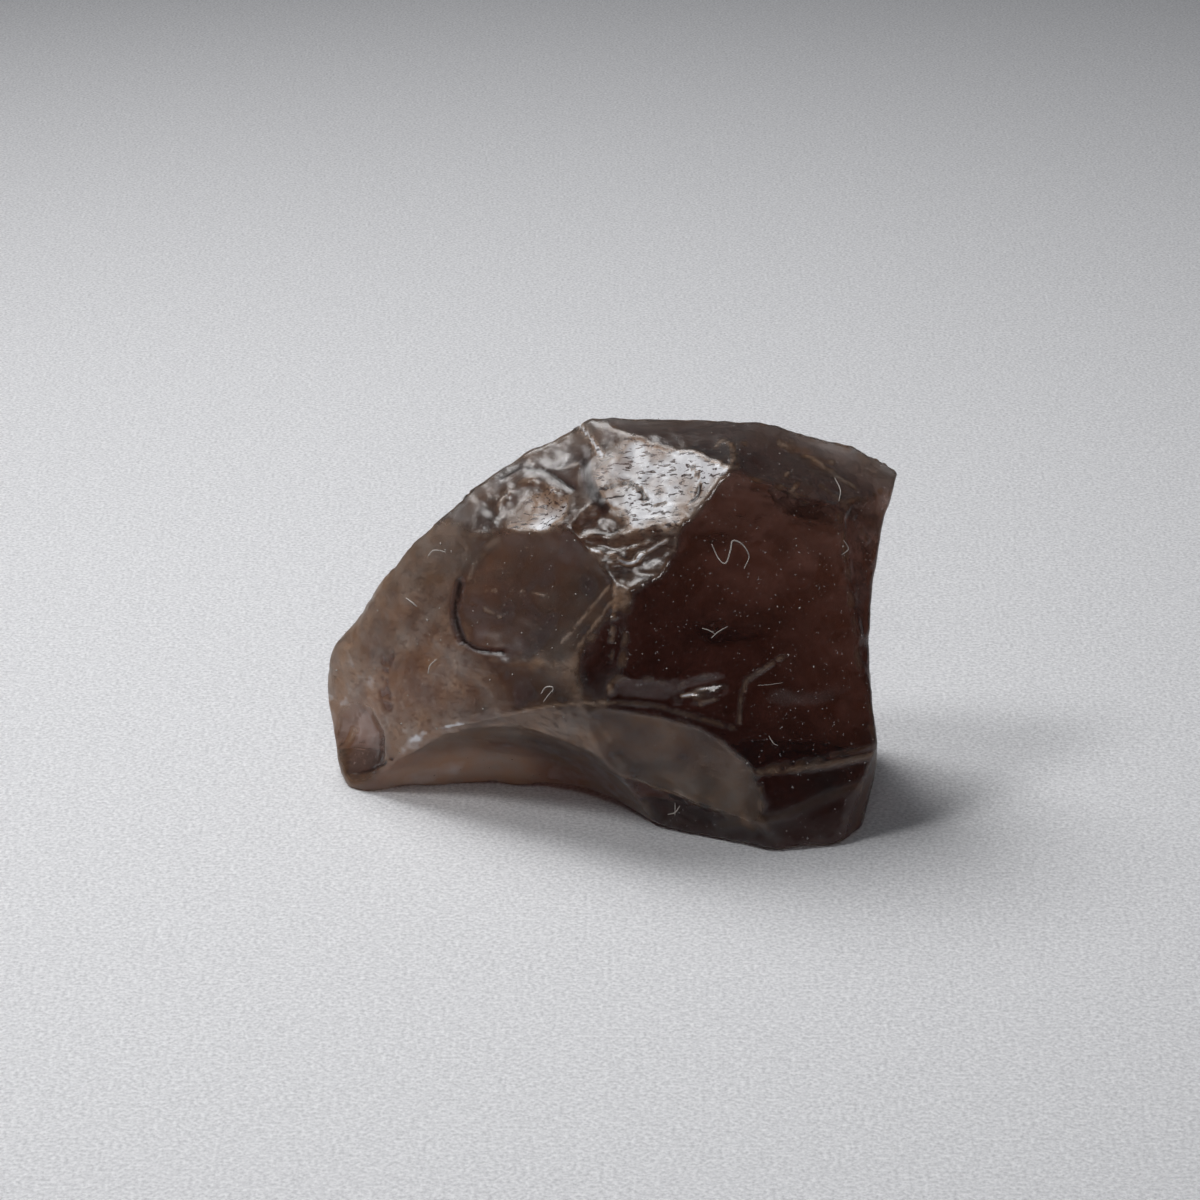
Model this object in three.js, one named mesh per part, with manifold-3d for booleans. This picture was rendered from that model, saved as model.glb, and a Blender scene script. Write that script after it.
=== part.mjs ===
// A volcanic glass specimen: one lump of smoky brown glass, about 25 mm long, broken on every side.
// Millimetres, +Z up. The origin is on the surface the stone rests on, under the middle of its box.
// +X is along the stone, towards its thick end, and -Y is its front.
//
// The lump is a rough block that is cut by flat breaks, rounded by a few bulging faces, and then hollowed
// by shell-shaped fracture scars, in the order in which such a stone loses its pieces.

import * as THREE from 'three';
import { mergeVertices } from 'three/addons/utils/BufferGeometryUtils.js';
import Module from 'manifold-3d';

// The rough block: it stands on the ground plane and is a little larger than the stone.
const BLOCK_LENGTH = 27;
const BLOCK_THICKNESS = 15;
const BLOCK_HEIGHT = 18;

// A cutting box is this large, so that it takes away everything beyond a flat break.
const CUT_SIZE = 80;

// How far a flat facet may stand off the true curve of a bulging or hollow face.
const DOME_SAG = 0.03;
const SCAR_SAG = 0.012;

// Every face has a place on it and the way it looks, as a compass angle and an elevation in degrees.
// Angle 0 looks to the front, -Y, and 90 looks to the thick end, +X. An elevation of 90 looks up.
const FLATS = [
  { name: 'right front', at: [6.2, -6.0, 3.5], looks: [10, 17.5] },
  { name: 'left crest', at: [-5.0, -0.8, 12.2], looks: [-37, 47] },
  { name: 'left crest, back', at: [-5.0, 2.0, 14.6], looks: [-150, 30] },
  { name: 'top ridge', at: [1.5, 2.0, 16.6], looks: [-4, 82] },
  { name: 'top right', at: [4.9, -2.5, 15.9], looks: [54, 62] },
  { name: 'right bevel', at: [10.3, -3.3, 9.6], looks: [52, 17] },
  { name: 'left slope', at: [-10.0, 1.6, 9.8], looks: [-108, 36] },
  { name: 'back of the top', at: [6.0, 1.9, 16.6], looks: [174, 45] },
  { name: 'right foot', at: [6.2, -6.0, 3.5], looks: [12, 14] },
  { name: 'right foot, corner', at: [10.4, -5.0, 0.0], looks: [57, -9] },
  { name: 'right foot, end', at: [11.5, -1.0, 3.2], looks: [88, -8] },
];

// Bulging faces, each part of a sphere that is larger than the stone.
const DOMES = [
  { name: 'left front', at: [-4.5, -4.0, 5.3], looks: [-32, 16], radius: 60 },
  { name: 'left knob', at: [-12.9, 2.0, 4.4], looks: [-90, 0], radius: 15 },
  { name: 'back', at: [0.0, 6.2, 7.0], looks: [178, 5], radius: 40 },
  { name: 'back, left', at: [-6.0, 4.4, 7.0], looks: [-168, 12], radius: 60 },
  { name: 'back, right', at: [11.0, 5.0, 8.0], looks: [135, 0], radius: 45 },
];

// Fracture scars: shallow hollows, each as wide and as deep as stated where the face over it is flat.
// An oval one has a length too, and its long axis is turned by roll degrees from the level.
const SCARS = [
  { name: 'right side', at: [12.0, -2.0, 9.8], looks: [94, -9], width: 12, depth: 0.9 },
  { name: 'bright scar', at: [1.4, -0.7, 15.8], looks: [-26, 42], width: 7.4, depth: 0.32 },
  { name: 'brow', at: [-6.1, -3.7, 3.6], looks: [-18, -16], width: 15, depth: 0.9 },
  { name: 'arch', at: [-5.0, -2.5, 1.0], looks: [-12, -33], width: 11.8, depth: 1.7 },
  { name: 'grey', at: [1.7, -5.8, 4.6], looks: [-6, -15], width: 4.4, depth: 0.55, length: 8.4, roll: -6 },
  { name: 'foot', at: [3.3, -5.8, 1.1], looks: [-22, -14], width: 4.6, depth: 0.55, length: 9.6, roll: 2 },
  { name: 'shoulder', at: [-11.9, 1.8, 7.4], looks: [-95, 38], width: 4.2, depth: 0.5 },
  { name: 'notch', at: [-12.8, 1.0, 2.5], looks: [-75, 10], width: 1.6, depth: 0.4 },
  { name: 'chip', at: [-11.5, 0.2, 1.6], looks: [-38, 28], width: 2.8, depth: 0.45 },
  { name: 'lens', at: [-3.6, -2.2, 10.6], looks: [-31, 21], width: 6.2, depth: 0.5, length: 8, roll: 20 },
  { name: 'band', at: [-4.0, -3.9, 7.2], looks: [-31, 12], width: 4.2, depth: 0.32, length: 9, roll: -13 },
  { name: 'wedge', at: [-1.1, -4.75, 9.2], looks: [-16, 14], width: 3, depth: 0.35, length: 5.2, roll: 80 },
  { name: 'heel', at: [7.9, -5.1, 5.8], looks: [12, 15], width: 5, depth: 0.32, length: 7, roll: 5 },
  { name: 'sliver', at: [3.0, -5.9, 6.2], looks: [4, 22], width: 2.4, depth: 0.3, length: 7.2, roll: -8 },
  { name: 'glint', at: [3.75, -5.25, 7.1], looks: [2, 32], width: 0.6, depth: 0.1, length: 2, roll: 16 },
  { name: 'hackle', at: [-4.1, -1.0, 13.1], looks: [-30, 60], width: 3.2, depth: 0.5, length: 4.4, roll: 30 },
  { name: 'dent', at: [-2.0, 1.0, 15.5], looks: [-55, 57], width: 2.8, depth: 0.35, length: 3.8, roll: 30 },
  { name: 'cone', at: [0.2, -2.4, 13.6], looks: [-50, 46], width: 1.7, depth: 0.25, length: 2.6, roll: 30 },
  { name: 'shard', at: [-0.2, -3.3, 12.6], looks: [-20, 62], width: 1.4, depth: 0.3, length: 3, roll: -20 },
  { name: 'splinters', at: [1.5, -3.6, 12.6], looks: [-22, 35], width: 2.4, depth: 0.2, length: 4, roll: -5 },
  { name: 'long back', at: [2.5, 6.2, 8.0], looks: [172, 8], width: 9, depth: 0.9, length: 15, roll: 12 },
  { name: 'low back', at: [-4.5, 4.9, 3.2], looks: [-165, -14], width: 6, depth: 0.7, length: 9, roll: -8 },
  { name: 'high back', at: [7.5, 4.6, 12.2], looks: [160, 30], width: 5, depth: 0.5 },
  { name: 'high back, left', at: [-6.5, 3.3, 10.5], looks: [-150, 26], width: 6, depth: 0.6 },
  { name: 'underside', at: [0.5, 1.0, 0.0], looks: [0, -90], width: 10, depth: 0.9 },
  { name: 'underside, right', at: [7.5, 1.6, 0.0], looks: [20, -90], width: 4, depth: 0.4 },
];

// The glass: smoky brown, nearly black where it is thick, with a glossy broken surface.
const GLASS = { color: 0x3b2a24, roughness: 0.15, metalness: 0 };

const wasm = await Module();
wasm.setup();

// Turns a closed three.js geometry into a solid that can be joined and cut.
function solid(geometry) {
  const bare = geometry.clone();
  bare.deleteAttribute('normal');
  bare.deleteAttribute('uv');
  const merged = mergeVertices(bare);
  return new wasm.Manifold(new wasm.Mesh({
    numProp: 3,
    vertProperties: new Float32Array(merged.attributes.position.array),
    triVerts: new Uint32Array(merged.index.array),
  }));
}

// Turns a finished solid back into a three.js geometry.
function geometryOf(body) {
  const mesh = body.getMesh();
  const geometry = new THREE.BufferGeometry();
  geometry.setAttribute('position', new THREE.BufferAttribute(new Float32Array(mesh.vertProperties), 3));
  geometry.setIndex(new THREE.BufferAttribute(new Uint32Array(mesh.triVerts), 1));
  geometry.computeVertexNormals();
  return geometry;
}

// The three directions of a face: along it, up it and out of it.
function directions([angle, elevation], roll = 0) {
  const a = THREE.MathUtils.degToRad(angle);
  const e = THREE.MathUtils.degToRad(elevation);
  const out = new THREE.Vector3(Math.sin(a) * Math.cos(e), -Math.cos(a) * Math.cos(e), Math.sin(e));
  const level = new THREE.Vector3(Math.cos(a), Math.sin(a), 0);
  const along = level.applyAxisAngle(out, THREE.MathUtils.degToRad(roll));
  const up = new THREE.Vector3().crossVectors(out, along);
  return { along, up, out };
}

// Moves a geometry so that its own +Z looks out of the face, from a centre that is `above` the place.
function place(geometry, face, above) {
  const { along, up, out } = directions(face.looks, face.roll);
  const centre = new THREE.Vector3(...face.at).addScaledVector(out, above);
  const matrix = new THREE.Matrix4().makeBasis(along, up, out).setPosition(centre);
  return geometry.applyMatrix4(matrix);
}

// An even ball whose facets stand off the true sphere by no more than `sag`.
function ball(radius, sag) {
  const edge = Math.sqrt(8 * radius * sag);
  const detail = Math.ceil(1.1 * radius / edge);
  return new THREE.IcosahedronGeometry(radius, detail);
}

// Everything beyond a flat break.
function beyond(face) {
  return solid(place(new THREE.BoxGeometry(CUT_SIZE, CUT_SIZE, CUT_SIZE), face, CUT_SIZE / 2));
}

// The large ball whose surface is a bulging face.
function bulge(face) {
  return solid(place(ball(face.radius, DOME_SAG), face, -face.radius));
}

// The ball that a fracture scar is a shallow cut of: it reaches `depth` below the place, and its cut
// through a flat face there is `width` across, and `length` along the long axis of an oval one.
function hollow(scar) {
  const radius = (scar.width ** 2 / 4 + scar.depth ** 2) / (2 * scar.depth);
  const geometry = ball(radius, SCAR_SAG);
  geometry.scale((scar.length ?? scar.width) / scar.width, 1, 1);
  return solid(place(geometry, scar, radius - scar.depth));
}

function roughBlock() {
  const geometry = new THREE.BoxGeometry(BLOCK_LENGTH, BLOCK_THICKNESS, BLOCK_HEIGHT);
  geometry.translate(0, 0, BLOCK_HEIGHT / 2);
  return solid(geometry);
}

function stone() {
  let body = roughBlock();
  for (const face of FLATS) {
    body = body.subtract(beyond(face));
  }
  for (const face of DOMES) {
    body = body.intersect(bulge(face));
  }
  for (const scar of SCARS) {
    body = body.subtract(hollow(scar));
  }
  return body;
}

const mesh = new THREE.Mesh(geometryOf(stone()), new THREE.MeshStandardMaterial(GLASS));
mesh.name = 'glass_stone';

const specimen = new THREE.Group();
specimen.name = 'volcanic_glass_specimen';
specimen.add(mesh);

export default specimen;
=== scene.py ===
"""A volcanic glass specimen: one lump of smoky brown glass, about 25 mm long, broken on every side.

The stone is one piece. It is worked out in millimetres and goes into Blender in metres, in the frame of
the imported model: it rests on the ground plane, +X runs along it to its thick end, and -Y is its front.

Its shape is the part of space that lies behind every one of its faces. A face is a flat break, a bulge,
which is part of a large ball, or a scar, which is the hollow that a ball leaves. They are the faces of the
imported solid. Here each face also gets the marks of how it broke, so that the ridges between faces wander,
and the ridges are rounded a little. Lint and dust lie on the glass.
"""

import itertools
import logging
import math
from dataclasses import dataclass, field
from enum import Enum, IntEnum

import bpy
import numpy as np
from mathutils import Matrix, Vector


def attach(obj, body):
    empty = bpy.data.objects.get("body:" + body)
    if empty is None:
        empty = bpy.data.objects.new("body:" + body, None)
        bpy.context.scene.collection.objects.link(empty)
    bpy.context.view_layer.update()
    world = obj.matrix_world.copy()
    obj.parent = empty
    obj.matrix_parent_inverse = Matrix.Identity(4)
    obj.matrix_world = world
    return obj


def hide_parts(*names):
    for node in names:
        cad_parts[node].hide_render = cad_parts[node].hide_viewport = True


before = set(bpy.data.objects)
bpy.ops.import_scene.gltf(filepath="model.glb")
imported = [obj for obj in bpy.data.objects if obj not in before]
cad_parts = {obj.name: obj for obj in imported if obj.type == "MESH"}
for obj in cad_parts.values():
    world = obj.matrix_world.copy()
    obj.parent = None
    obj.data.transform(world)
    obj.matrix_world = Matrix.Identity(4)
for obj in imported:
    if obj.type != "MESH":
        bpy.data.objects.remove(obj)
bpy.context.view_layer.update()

LOG = logging.getLogger("volcanic_glass")

# A millimetre in metres, and the least that a squared length counts as where it divides.
MM = 0.001
TINY = 1e-9

# What the noise is worked out from: a large odd number for each axis and for the seed, two more that mix
# bits well, and how far the cubes of one octave are shifted from those of the one before.
AXIS_FACTORS = (73856093, 19349663, 83492791)
SEED_FACTOR = 2654435761
BIT_MIXERS = (0xFF51AFD7ED558CCD, 0xC4CEB9FE1A85EC53)
OCTAVE_SHIFT = 17.3

Pair = tuple[float, float]
Triple = tuple[float, float, float]
Socket = bpy.types.NodeSocket


class Seed(IntEnum):
    """Where the seeds of each kind of noise start. A face or a trace adds its own number."""

    WANDER = 0
    FADE = 50
    HACKLE = 100
    LUMPS = 150
    PITS = 200
    TRACE_GAPS = 300
    CRUSHING = 400
    BLOTCHES = 401
    CHIPS = 500


# ---------------------------------------------------------------------------------------------------------
# Numbers and noise


def toward(angle: float, elevation: float) -> np.ndarray:
    """Direction of a compass angle, where 0 is the front and 90 the thick end, and an elevation.

    Args:
        angle: compass angle in degrees.
        elevation: degrees above the level.

    Returns:
        A vector of length 1.
    """
    a, e = math.radians(angle), math.radians(elevation)
    return np.array([math.sin(a) * math.cos(e), -math.cos(a) * math.cos(e), math.sin(e)])


def eased(x: np.ndarray, zero_at: float, one_at: float) -> np.ndarray:
    """A smooth step: 0 as far as one value of x, and 1 from another on, which may be the smaller one.

    It is 3 t^2 - 2 t^3, where t is the share of the way from the first value to the second.

    Args:
        x: any numbers.
        zero_at: where the step begins.
        one_at: where it ends.

    Returns:
        A number from 0 to 1 for each x.
    """
    part = np.clip((x - zero_at) / (one_at - zero_at), 0.0, 1.0)
    return part * part * (3.0 - 2.0 * part)


def random_in_cells(cells: np.ndarray, seed: int) -> np.ndarray:
    """A number from -1 to 1 for each cell of a lattice, by mixing the bits of its whole-number place.

    Args:
        cells: whole numbers, three for each cell.
        seed: another seed gives another field.

    Returns:
        One number for each cell, the same on every run.
    """
    mixed = (cells @ np.array(AXIS_FACTORS, np.int64) + seed * SEED_FACTOR).astype(np.uint64)
    for factor in BIT_MIXERS:
        mixed = (mixed ^ (mixed >> np.uint64(33))) * np.uint64(factor)
    mixed ^= mixed >> np.uint64(33)
    return (mixed >> np.uint64(11)).astype(float) / 2.0**52 - 1.0


def noise(points: np.ndarray, size: float | Triple, seed: int, octaves: int = 1) -> np.ndarray:
    """Smooth noise: random numbers at the corners of cubes, eased between the corners.

    Each further octave has cubes half as large and is half as strong.

    Args:
        points: places in mm.
        size: edge of the cubes in mm, or one edge for each axis.
        seed: another seed gives another field.
        octaves: how many sizes are added up.

    Returns:
        A number for each place, mostly between -1 and 1.
    """
    total = np.zeros(len(points))
    for octave in range(octaves):
        scaled = points / np.asarray(size, float) * 2.0**octave + OCTAVE_SHIFT * octave
        cell = np.floor(scaled)
        part = scaled - cell
        ease = part * part * part * (part * (part * 6.0 - 15.0) + 10.0)
        cell = cell.astype(np.int64)
        for corner in itertools.product((0, 1), repeat=3):
            share = np.where(np.array(corner, bool), ease, 1.0 - ease).prod(axis=1)
            total += share * random_in_cells(cell + np.array(corner), seed + octave) / 2.0**octave
    return total


def curve_through(knots: tuple[Triple, ...], steps: int) -> np.ndarray:
    """A smooth curve through a few places, by the Catmull-Rom formula.

    Args:
        knots: the places, in mm.
        steps: how many places to work out on each stretch, both of its ends among them.

    Returns:
        Places along the curve.
    """
    known = np.array(knots)
    known = np.concatenate([2.0 * known[:1] - known[1:2], known, 2.0 * known[-1:] - known[-2:-1]])
    before, first, second, after = known[:-3], known[1:-2], known[2:-1], known[3:]
    t = np.linspace(0.0, 1.0, steps)[:, None, None]
    curve = 0.5 * (2.0 * first + (second - before) * t
                   + (2.0 * before - 5.0 * first + 4.0 * second - after) * t**2
                   + (3.0 * (first - second) + after - before) * t**3)
    return curve.transpose(1, 0, 2).reshape(-1, 3)


# ---------------------------------------------------------------------------------------------------------
# How faces are marked


@dataclass(frozen=True)
class Marks:
    """The marks of one kind of broken or weathered face. Heights, widths and gaps are in mm.

    Attributes:
        ripple: height of the curved ripple lines round the place where the crack began.
        ripple_gap: distance from one ripple to the next.
        hackle: height of the streaks that run out from that place.
        hackle_width: width of a streak.
        lump: height of soft swellings.
        lump_size: width of a swelling.
        pit: depth of small pits.
        pit_size: width of a pit.
        roughness: of the shader, 0 for a fresh mirror-like break.
        grain: how strongly the finest bumps show, from 0 to 1.
        veil: how much of the face is a pale weathered or crushed skin, from 0 to 1; on the hackled and the
            bright scar most of it is a painted highlight, which stands in for the lamp's reflection.
        grit: how much that skin is broken by dark streaks, from 0 to 1.
        overtone: height of the wave of half the gap that sharpens the ripples, where theirs is 1.
        wander: how far the ripples stray from their circles, where the gap is 1.
        wander_size: over what distance they stray, in mm.
        fade_size: over what distance they come and go, in mm.
        faded: the values of that noise between which they come in.
        hackle_length: of a streak, where its width is 1.
        pitted: the values of the pits' noise between which a pit grows to its depth.
    """

    ripple: float = 0.0
    ripple_gap: float = 1.0
    hackle: float = 0.0
    hackle_width: float = 0.5
    lump: float = 0.0
    lump_size: float = 2.0
    pit: float = 0.0
    pit_size: float = 0.5
    roughness: float = 0.06
    grain: float = 0.1
    veil: float = 0.0
    grit: float = 0.0
    overtone: float = 0.35
    wander: float = 0.4
    wander_size: float = 2.2
    fade_size: float = 1.7
    faded: Pair = (-0.4, 0.6)
    hackle_length: float = 8.0
    pitted: Pair = (0.25, 0.6)


class Wear(Enum):
    """The kinds of face on this stone."""

    FRESH = Marks(ripple=0.01, ripple_gap=1.6, lump=0.035, lump_size=3.0, roughness=0.06, grain=0.05)
    EVEN = Marks(lump=0.012, lump_size=3.0, roughness=0.12, grain=0.2)
    RIPPLED = Marks(ripple=0.022, ripple_gap=0.9, hackle=0.01, lump=0.03, roughness=0.14, grain=0.1,
                    veil=0.03)
    # Hackled scars: the hackle, ripples and lumps are the break's own; the high veil is a painted highlight,
    # near-white skin in place of the glints that the patch catches from the lamp.
    HACKLED_PAINTED_GLINTS = Marks(ripple=0.03, ripple_gap=0.5, hackle=0.03, hackle_width=0.3, lump=0.07, lump_size=0.8,
                    roughness=0.26, grain=0.6, veil=0.62, grit=1.0)
    # The bright scar: its ripples and streaks are its own; its high veil paints it near white, a painted
    # reflection of the lamp that the scar mirrors.
    SILVERED_PAINTED_REFLECTION = Marks(ripple=0.018, ripple_gap=0.7, hackle=0.02, hackle_width=0.35, lump=0.05, lump_size=1.1,
                     roughness=0.26, grain=0.6, veil=0.7, grit=1.0)
    SATIN = Marks(ripple=0.012, ripple_gap=1.4, lump=0.05, lump_size=2.2, roughness=0.3, grain=0.4,
                  veil=0.08)
    SILKY = Marks(ripple=0.008, ripple_gap=1.8, lump=0.06, lump_size=2.4, roughness=0.4, grain=0.3,
                  veil=0.18)
    WEATHERED = Marks(lump=0.08, lump_size=1.6, pit=0.035, pit_size=0.35, roughness=0.38, grain=0.8,
                      veil=0.3, grit=0.5)
    SMOKED = Marks(ripple=0.016, ripple_gap=0.8, hackle=0.016, lump=0.05, lump_size=1.2, pit=0.02,
                   roughness=0.2, grain=0.6, veil=0.05, grit=0.8)
    FROSTED = Marks(ripple=0.012, ripple_gap=1.4, lump=0.08, lump_size=2.0, roughness=0.6, grain=0.4,
                    veil=0.06)
    FLAKED = Marks(ripple=0.02, ripple_gap=0.6, hackle=0.02, hackle_width=0.4, lump=0.06, lump_size=0.9,
                   roughness=0.2, grain=0.5, veil=0.14, grit=0.6)
    PITTED = Marks(lump=0.05, lump_size=1.0, pit=0.03, pit_size=0.4, hackle=0.02, roughness=0.24, grain=0.5,
                   veil=0.04, grit=0.5)


# ---------------------------------------------------------------------------------------------------------
# The faces of the stone


@dataclass(frozen=True)
class Face:
    """A flat break. The stone is behind it.

    Attributes:
        name: what the face is called.
        at: a place on it, in mm.
        looks: the compass angle and the elevation that it looks to, in degrees.
        wear: how it is marked.
        start: where its crack began, in mm along and up the face from `at`.
    """

    name: str
    at: Triple
    looks: Pair
    wear: Wear = Wear.FRESH
    start: Pair = (0.0, 8.0)

    @property
    def out(self) -> np.ndarray:
        """The direction that the face looks to."""
        return toward(*self.looks)

    def axes(self, roll: float = 0.0) -> tuple[np.ndarray, np.ndarray]:
        """The directions along and up the face.

        Args:
            roll: how far they are turned from the level, in degrees.

        Returns:
            Two vectors of length 1.
        """
        out = self.out
        level = toward(self.looks[0] + 90.0, 0.0)
        turn = math.radians(roll)
        along = level * math.cos(turn) + np.cross(out, level) * math.sin(turn)
        return along, np.cross(out, along)

    def height(self, points: np.ndarray) -> np.ndarray:
        """How far each place is in front of the face, in mm: its distance along `out` from `at`."""
        return (points - np.array(self.at)) @ self.out

    def slope(self, points: np.ndarray) -> np.ndarray:
        """The direction in which the height grows, of length 1."""
        return np.broadcast_to(self.out, points.shape)


@dataclass(frozen=True)
class Bulge(Face):
    """A bulging face: part of a ball, with its centre straight behind `at`.

    Attributes:
        radius: of the ball, in mm.
    """

    radius: float = 40.0

    def from_centre(self, points: np.ndarray) -> np.ndarray:
        """Each place as seen from the middle of the ball."""
        return points - (np.array(self.at) - self.out * self.radius)

    def height(self, points: np.ndarray) -> np.ndarray:
        """Distance from the middle of the ball, less its radius."""
        return np.linalg.norm(self.from_centre(points), axis=1) - self.radius

    def slope(self, points: np.ndarray) -> np.ndarray:
        """Straight away from the middle of the ball."""
        away = self.from_centre(points)
        return away / np.linalg.norm(away, axis=1)[:, None]


@dataclass(frozen=True)
class Scar(Face):
    """A hollow fracture scar: the place of a ball that took a shallow cap of glass with it.

    Attributes:
        width: across the scar, where the face over it is flat, in mm.
        depth: in mm, below `at`.
        length: of an oval scar, in mm; 0 for a round one.
        roll: how far the long axis is turned from the level, in degrees.
    """

    width: float = 4.0
    depth: float = 0.4
    length: float = 0.0
    roll: float = 0.0

    @property
    def radius(self) -> float:
        """Of the ball: half the width squared plus the depth squared, over twice the depth."""
        return (self.width**2 / 4.0 + self.depth**2) / (2.0 * self.depth)

    def squeezed(self, vectors: np.ndarray) -> np.ndarray:
        """Makes vectors shorter along the long axis, by width over length, so that an oval becomes round.

        Args:
            vectors: in mm.

        Returns:
            The vectors, or the same ones where the scar is round.
        """
        if not self.length:
            return vectors
        along = self.axes(self.roll)[0]
        return vectors - (1.0 - self.width / self.length) * np.outer(vectors @ along, along)

    def from_centre(self, points: np.ndarray) -> np.ndarray:
        """Each place as seen from the middle of the ball, squeezed."""
        centre = np.array(self.at) + self.out * (self.radius - self.depth)
        return self.squeezed(points - centre)

    def height(self, points: np.ndarray) -> np.ndarray:
        """The ball's radius, less the distance from its middle: positive where the glass is gone."""
        return self.radius - np.linalg.norm(self.from_centre(points), axis=1)

    def slope(self, points: np.ndarray) -> np.ndarray:
        """Towards the middle of the ball."""
        inward = -self.squeezed(self.from_centre(points))
        return inward / np.linalg.norm(inward, axis=1)[:, None]


FACES: tuple[Face, ...] = (
    Face("base", (0.0, 0.0, 0.0), (0, -90), Wear.FROSTED),
    Face("right front", (6.2, -6.0, 3.5), (10, 17.5), Wear.FRESH),
    Face("left crest", (-5.0, -0.8, 12.2), (-37, 47), Wear.SMOKED),
    Face("left crest, back", (-5.0, 2.0, 14.6), (-150, 30), Wear.FROSTED),
    Face("top ridge", (1.5, 2.0, 16.6), (-4, 82), Wear.PITTED),
    Face("top right", (4.9, -2.5, 15.9), (54, 62), Wear.PITTED),
    Face("right bevel", (10.3, -3.3, 9.6), (52, 17), Wear.FRESH),
    Face("left slope", (-10.0, 1.6, 9.8), (-108, 36), Wear.WEATHERED),
    Face("back of the top", (6.0, 1.9, 16.6), (174, 45), Wear.FROSTED),
    Face("right foot", (6.2, -6.0, 3.5), (12, 14), Wear.EVEN),
    Face("right foot, corner", (10.4, -5.0, 0.0), (57, -9), Wear.SATIN),
    Face("right foot, end", (11.5, -1.0, 3.2), (88, -8), Wear.FRESH),
    Bulge("left front", (-4.5, -4.0, 5.3), (-32, 16), Wear.WEATHERED, radius=60),
    Bulge("left knob", (-12.9, 2.0, 4.4), (-90, 0), Wear.WEATHERED, radius=15),
    Bulge("back", (0.0, 6.2, 7.0), (178, 5), Wear.FROSTED, radius=40),
    Bulge("back, left", (-6.0, 4.4, 7.0), (-168, 12), Wear.FROSTED, radius=60),
    Bulge("back, right", (11.0, 5.0, 8.0), (135, 0), Wear.FROSTED, radius=45),
    Scar("right side", (12.0, -2.0, 9.8), (94, -9), Wear.FRESH, width=12, depth=0.9),
    Scar("bright scar", (1.4, -0.7, 15.8), (-26, 42), Wear.SILVERED_PAINTED_REFLECTION, width=7.4, depth=0.32),
    Scar("brow", (-6.1, -3.7, 3.6), (-18, -16), Wear.WEATHERED, width=15, depth=0.9),
    Scar("arch", (-5.0, -2.5, 1.0), (-12, -33), Wear.SATIN, width=11.8, depth=1.7),
    Scar("grey", (1.7, -5.8, 4.6), (-6, -15), Wear.SILKY, width=4.4, depth=0.55, length=8.4, roll=-6),
    Scar("foot", (3.3, -5.8, 1.1), (-22, -14), Wear.EVEN, width=4.6, depth=0.55, length=9.6, roll=2),
    Scar("shoulder", (-11.9, 1.8, 7.4), (-95, 38), Wear.WEATHERED, width=4.2, depth=0.5),
    Scar("notch", (-12.8, 1.0, 2.5), (-75, 10), Wear.WEATHERED, width=1.6, depth=0.4),
    Scar("chip", (-11.5, 0.2, 1.6), (-38, 28), Wear.RIPPLED, width=2.8, depth=0.45),
    Scar("lens", (-3.6, -2.2, 10.6), (-31, 21), Wear.SATIN, width=6.2, depth=0.5, length=8, roll=20),
    Scar("band", (-4.0, -3.9, 7.2), (-31, 12), Wear.SATIN, width=4.2, depth=0.32, length=9, roll=-13),
    Scar("wedge", (-1.1, -4.75, 9.2), (-16, 14), Wear.FRESH, width=3, depth=0.35, length=5.2, roll=80),
    Scar("heel", (7.9, -5.1, 5.8), (12, 15), Wear.FRESH, width=5, depth=0.32, length=7, roll=5),
    Scar("sliver", (3.0, -5.9, 6.2), (4, 22), Wear.FRESH, width=2.4, depth=0.3, length=7.2, roll=-8),
    Scar("glint", (3.75, -5.25, 7.1), (2, 32), Wear.FRESH, width=0.6, depth=0.10, length=2, roll=16),
    Scar("hackle", (-4.1, -1.0, 13.1), (-30, 60), Wear.HACKLED_PAINTED_GLINTS, width=3.2, depth=0.5, length=4.4, roll=30),
    Scar("dent", (-2.0, 1.0, 15.5), (-55, 57), Wear.SMOKED, width=2.8, depth=0.35, length=3.8, roll=30),
    Scar("cone", (0.2, -2.4, 13.6), (-50, 46), Wear.FLAKED, width=1.7, depth=0.25, length=2.6, roll=30),
    Scar("shard", (-0.2, -3.3, 12.6), (-20, 62), Wear.FLAKED, width=1.4, depth=0.3, length=3, roll=-20),
    Scar("splinters", (1.5, -3.6, 12.6), (-22, 35), Wear.FLAKED, width=2.4, depth=0.2, length=4, roll=-5),
    Scar("long back", (2.5, 6.2, 8.0), (172, 8), Wear.FROSTED, width=9, depth=0.9, length=15, roll=12),
    Scar("low back", (-4.5, 4.9, 3.2), (-165, -14), Wear.FROSTED, width=6, depth=0.7, length=9, roll=-8),
    Scar("high back", (7.5, 4.6, 12.2), (160, 30), Wear.FROSTED, width=5, depth=0.5),
    Scar("high back, left", (-6.5, 3.3, 10.5), (-150, 26), Wear.FROSTED, width=6, depth=0.6),
    Scar("underside", (0.5, 1.0, 0.0), (0, -90), Wear.FROSTED, width=10, depth=0.9),
    Scar("underside, right", (7.5, 1.6, 0.0), (20, -90), Wear.FROSTED, width=4, depth=0.4),
)


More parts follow.
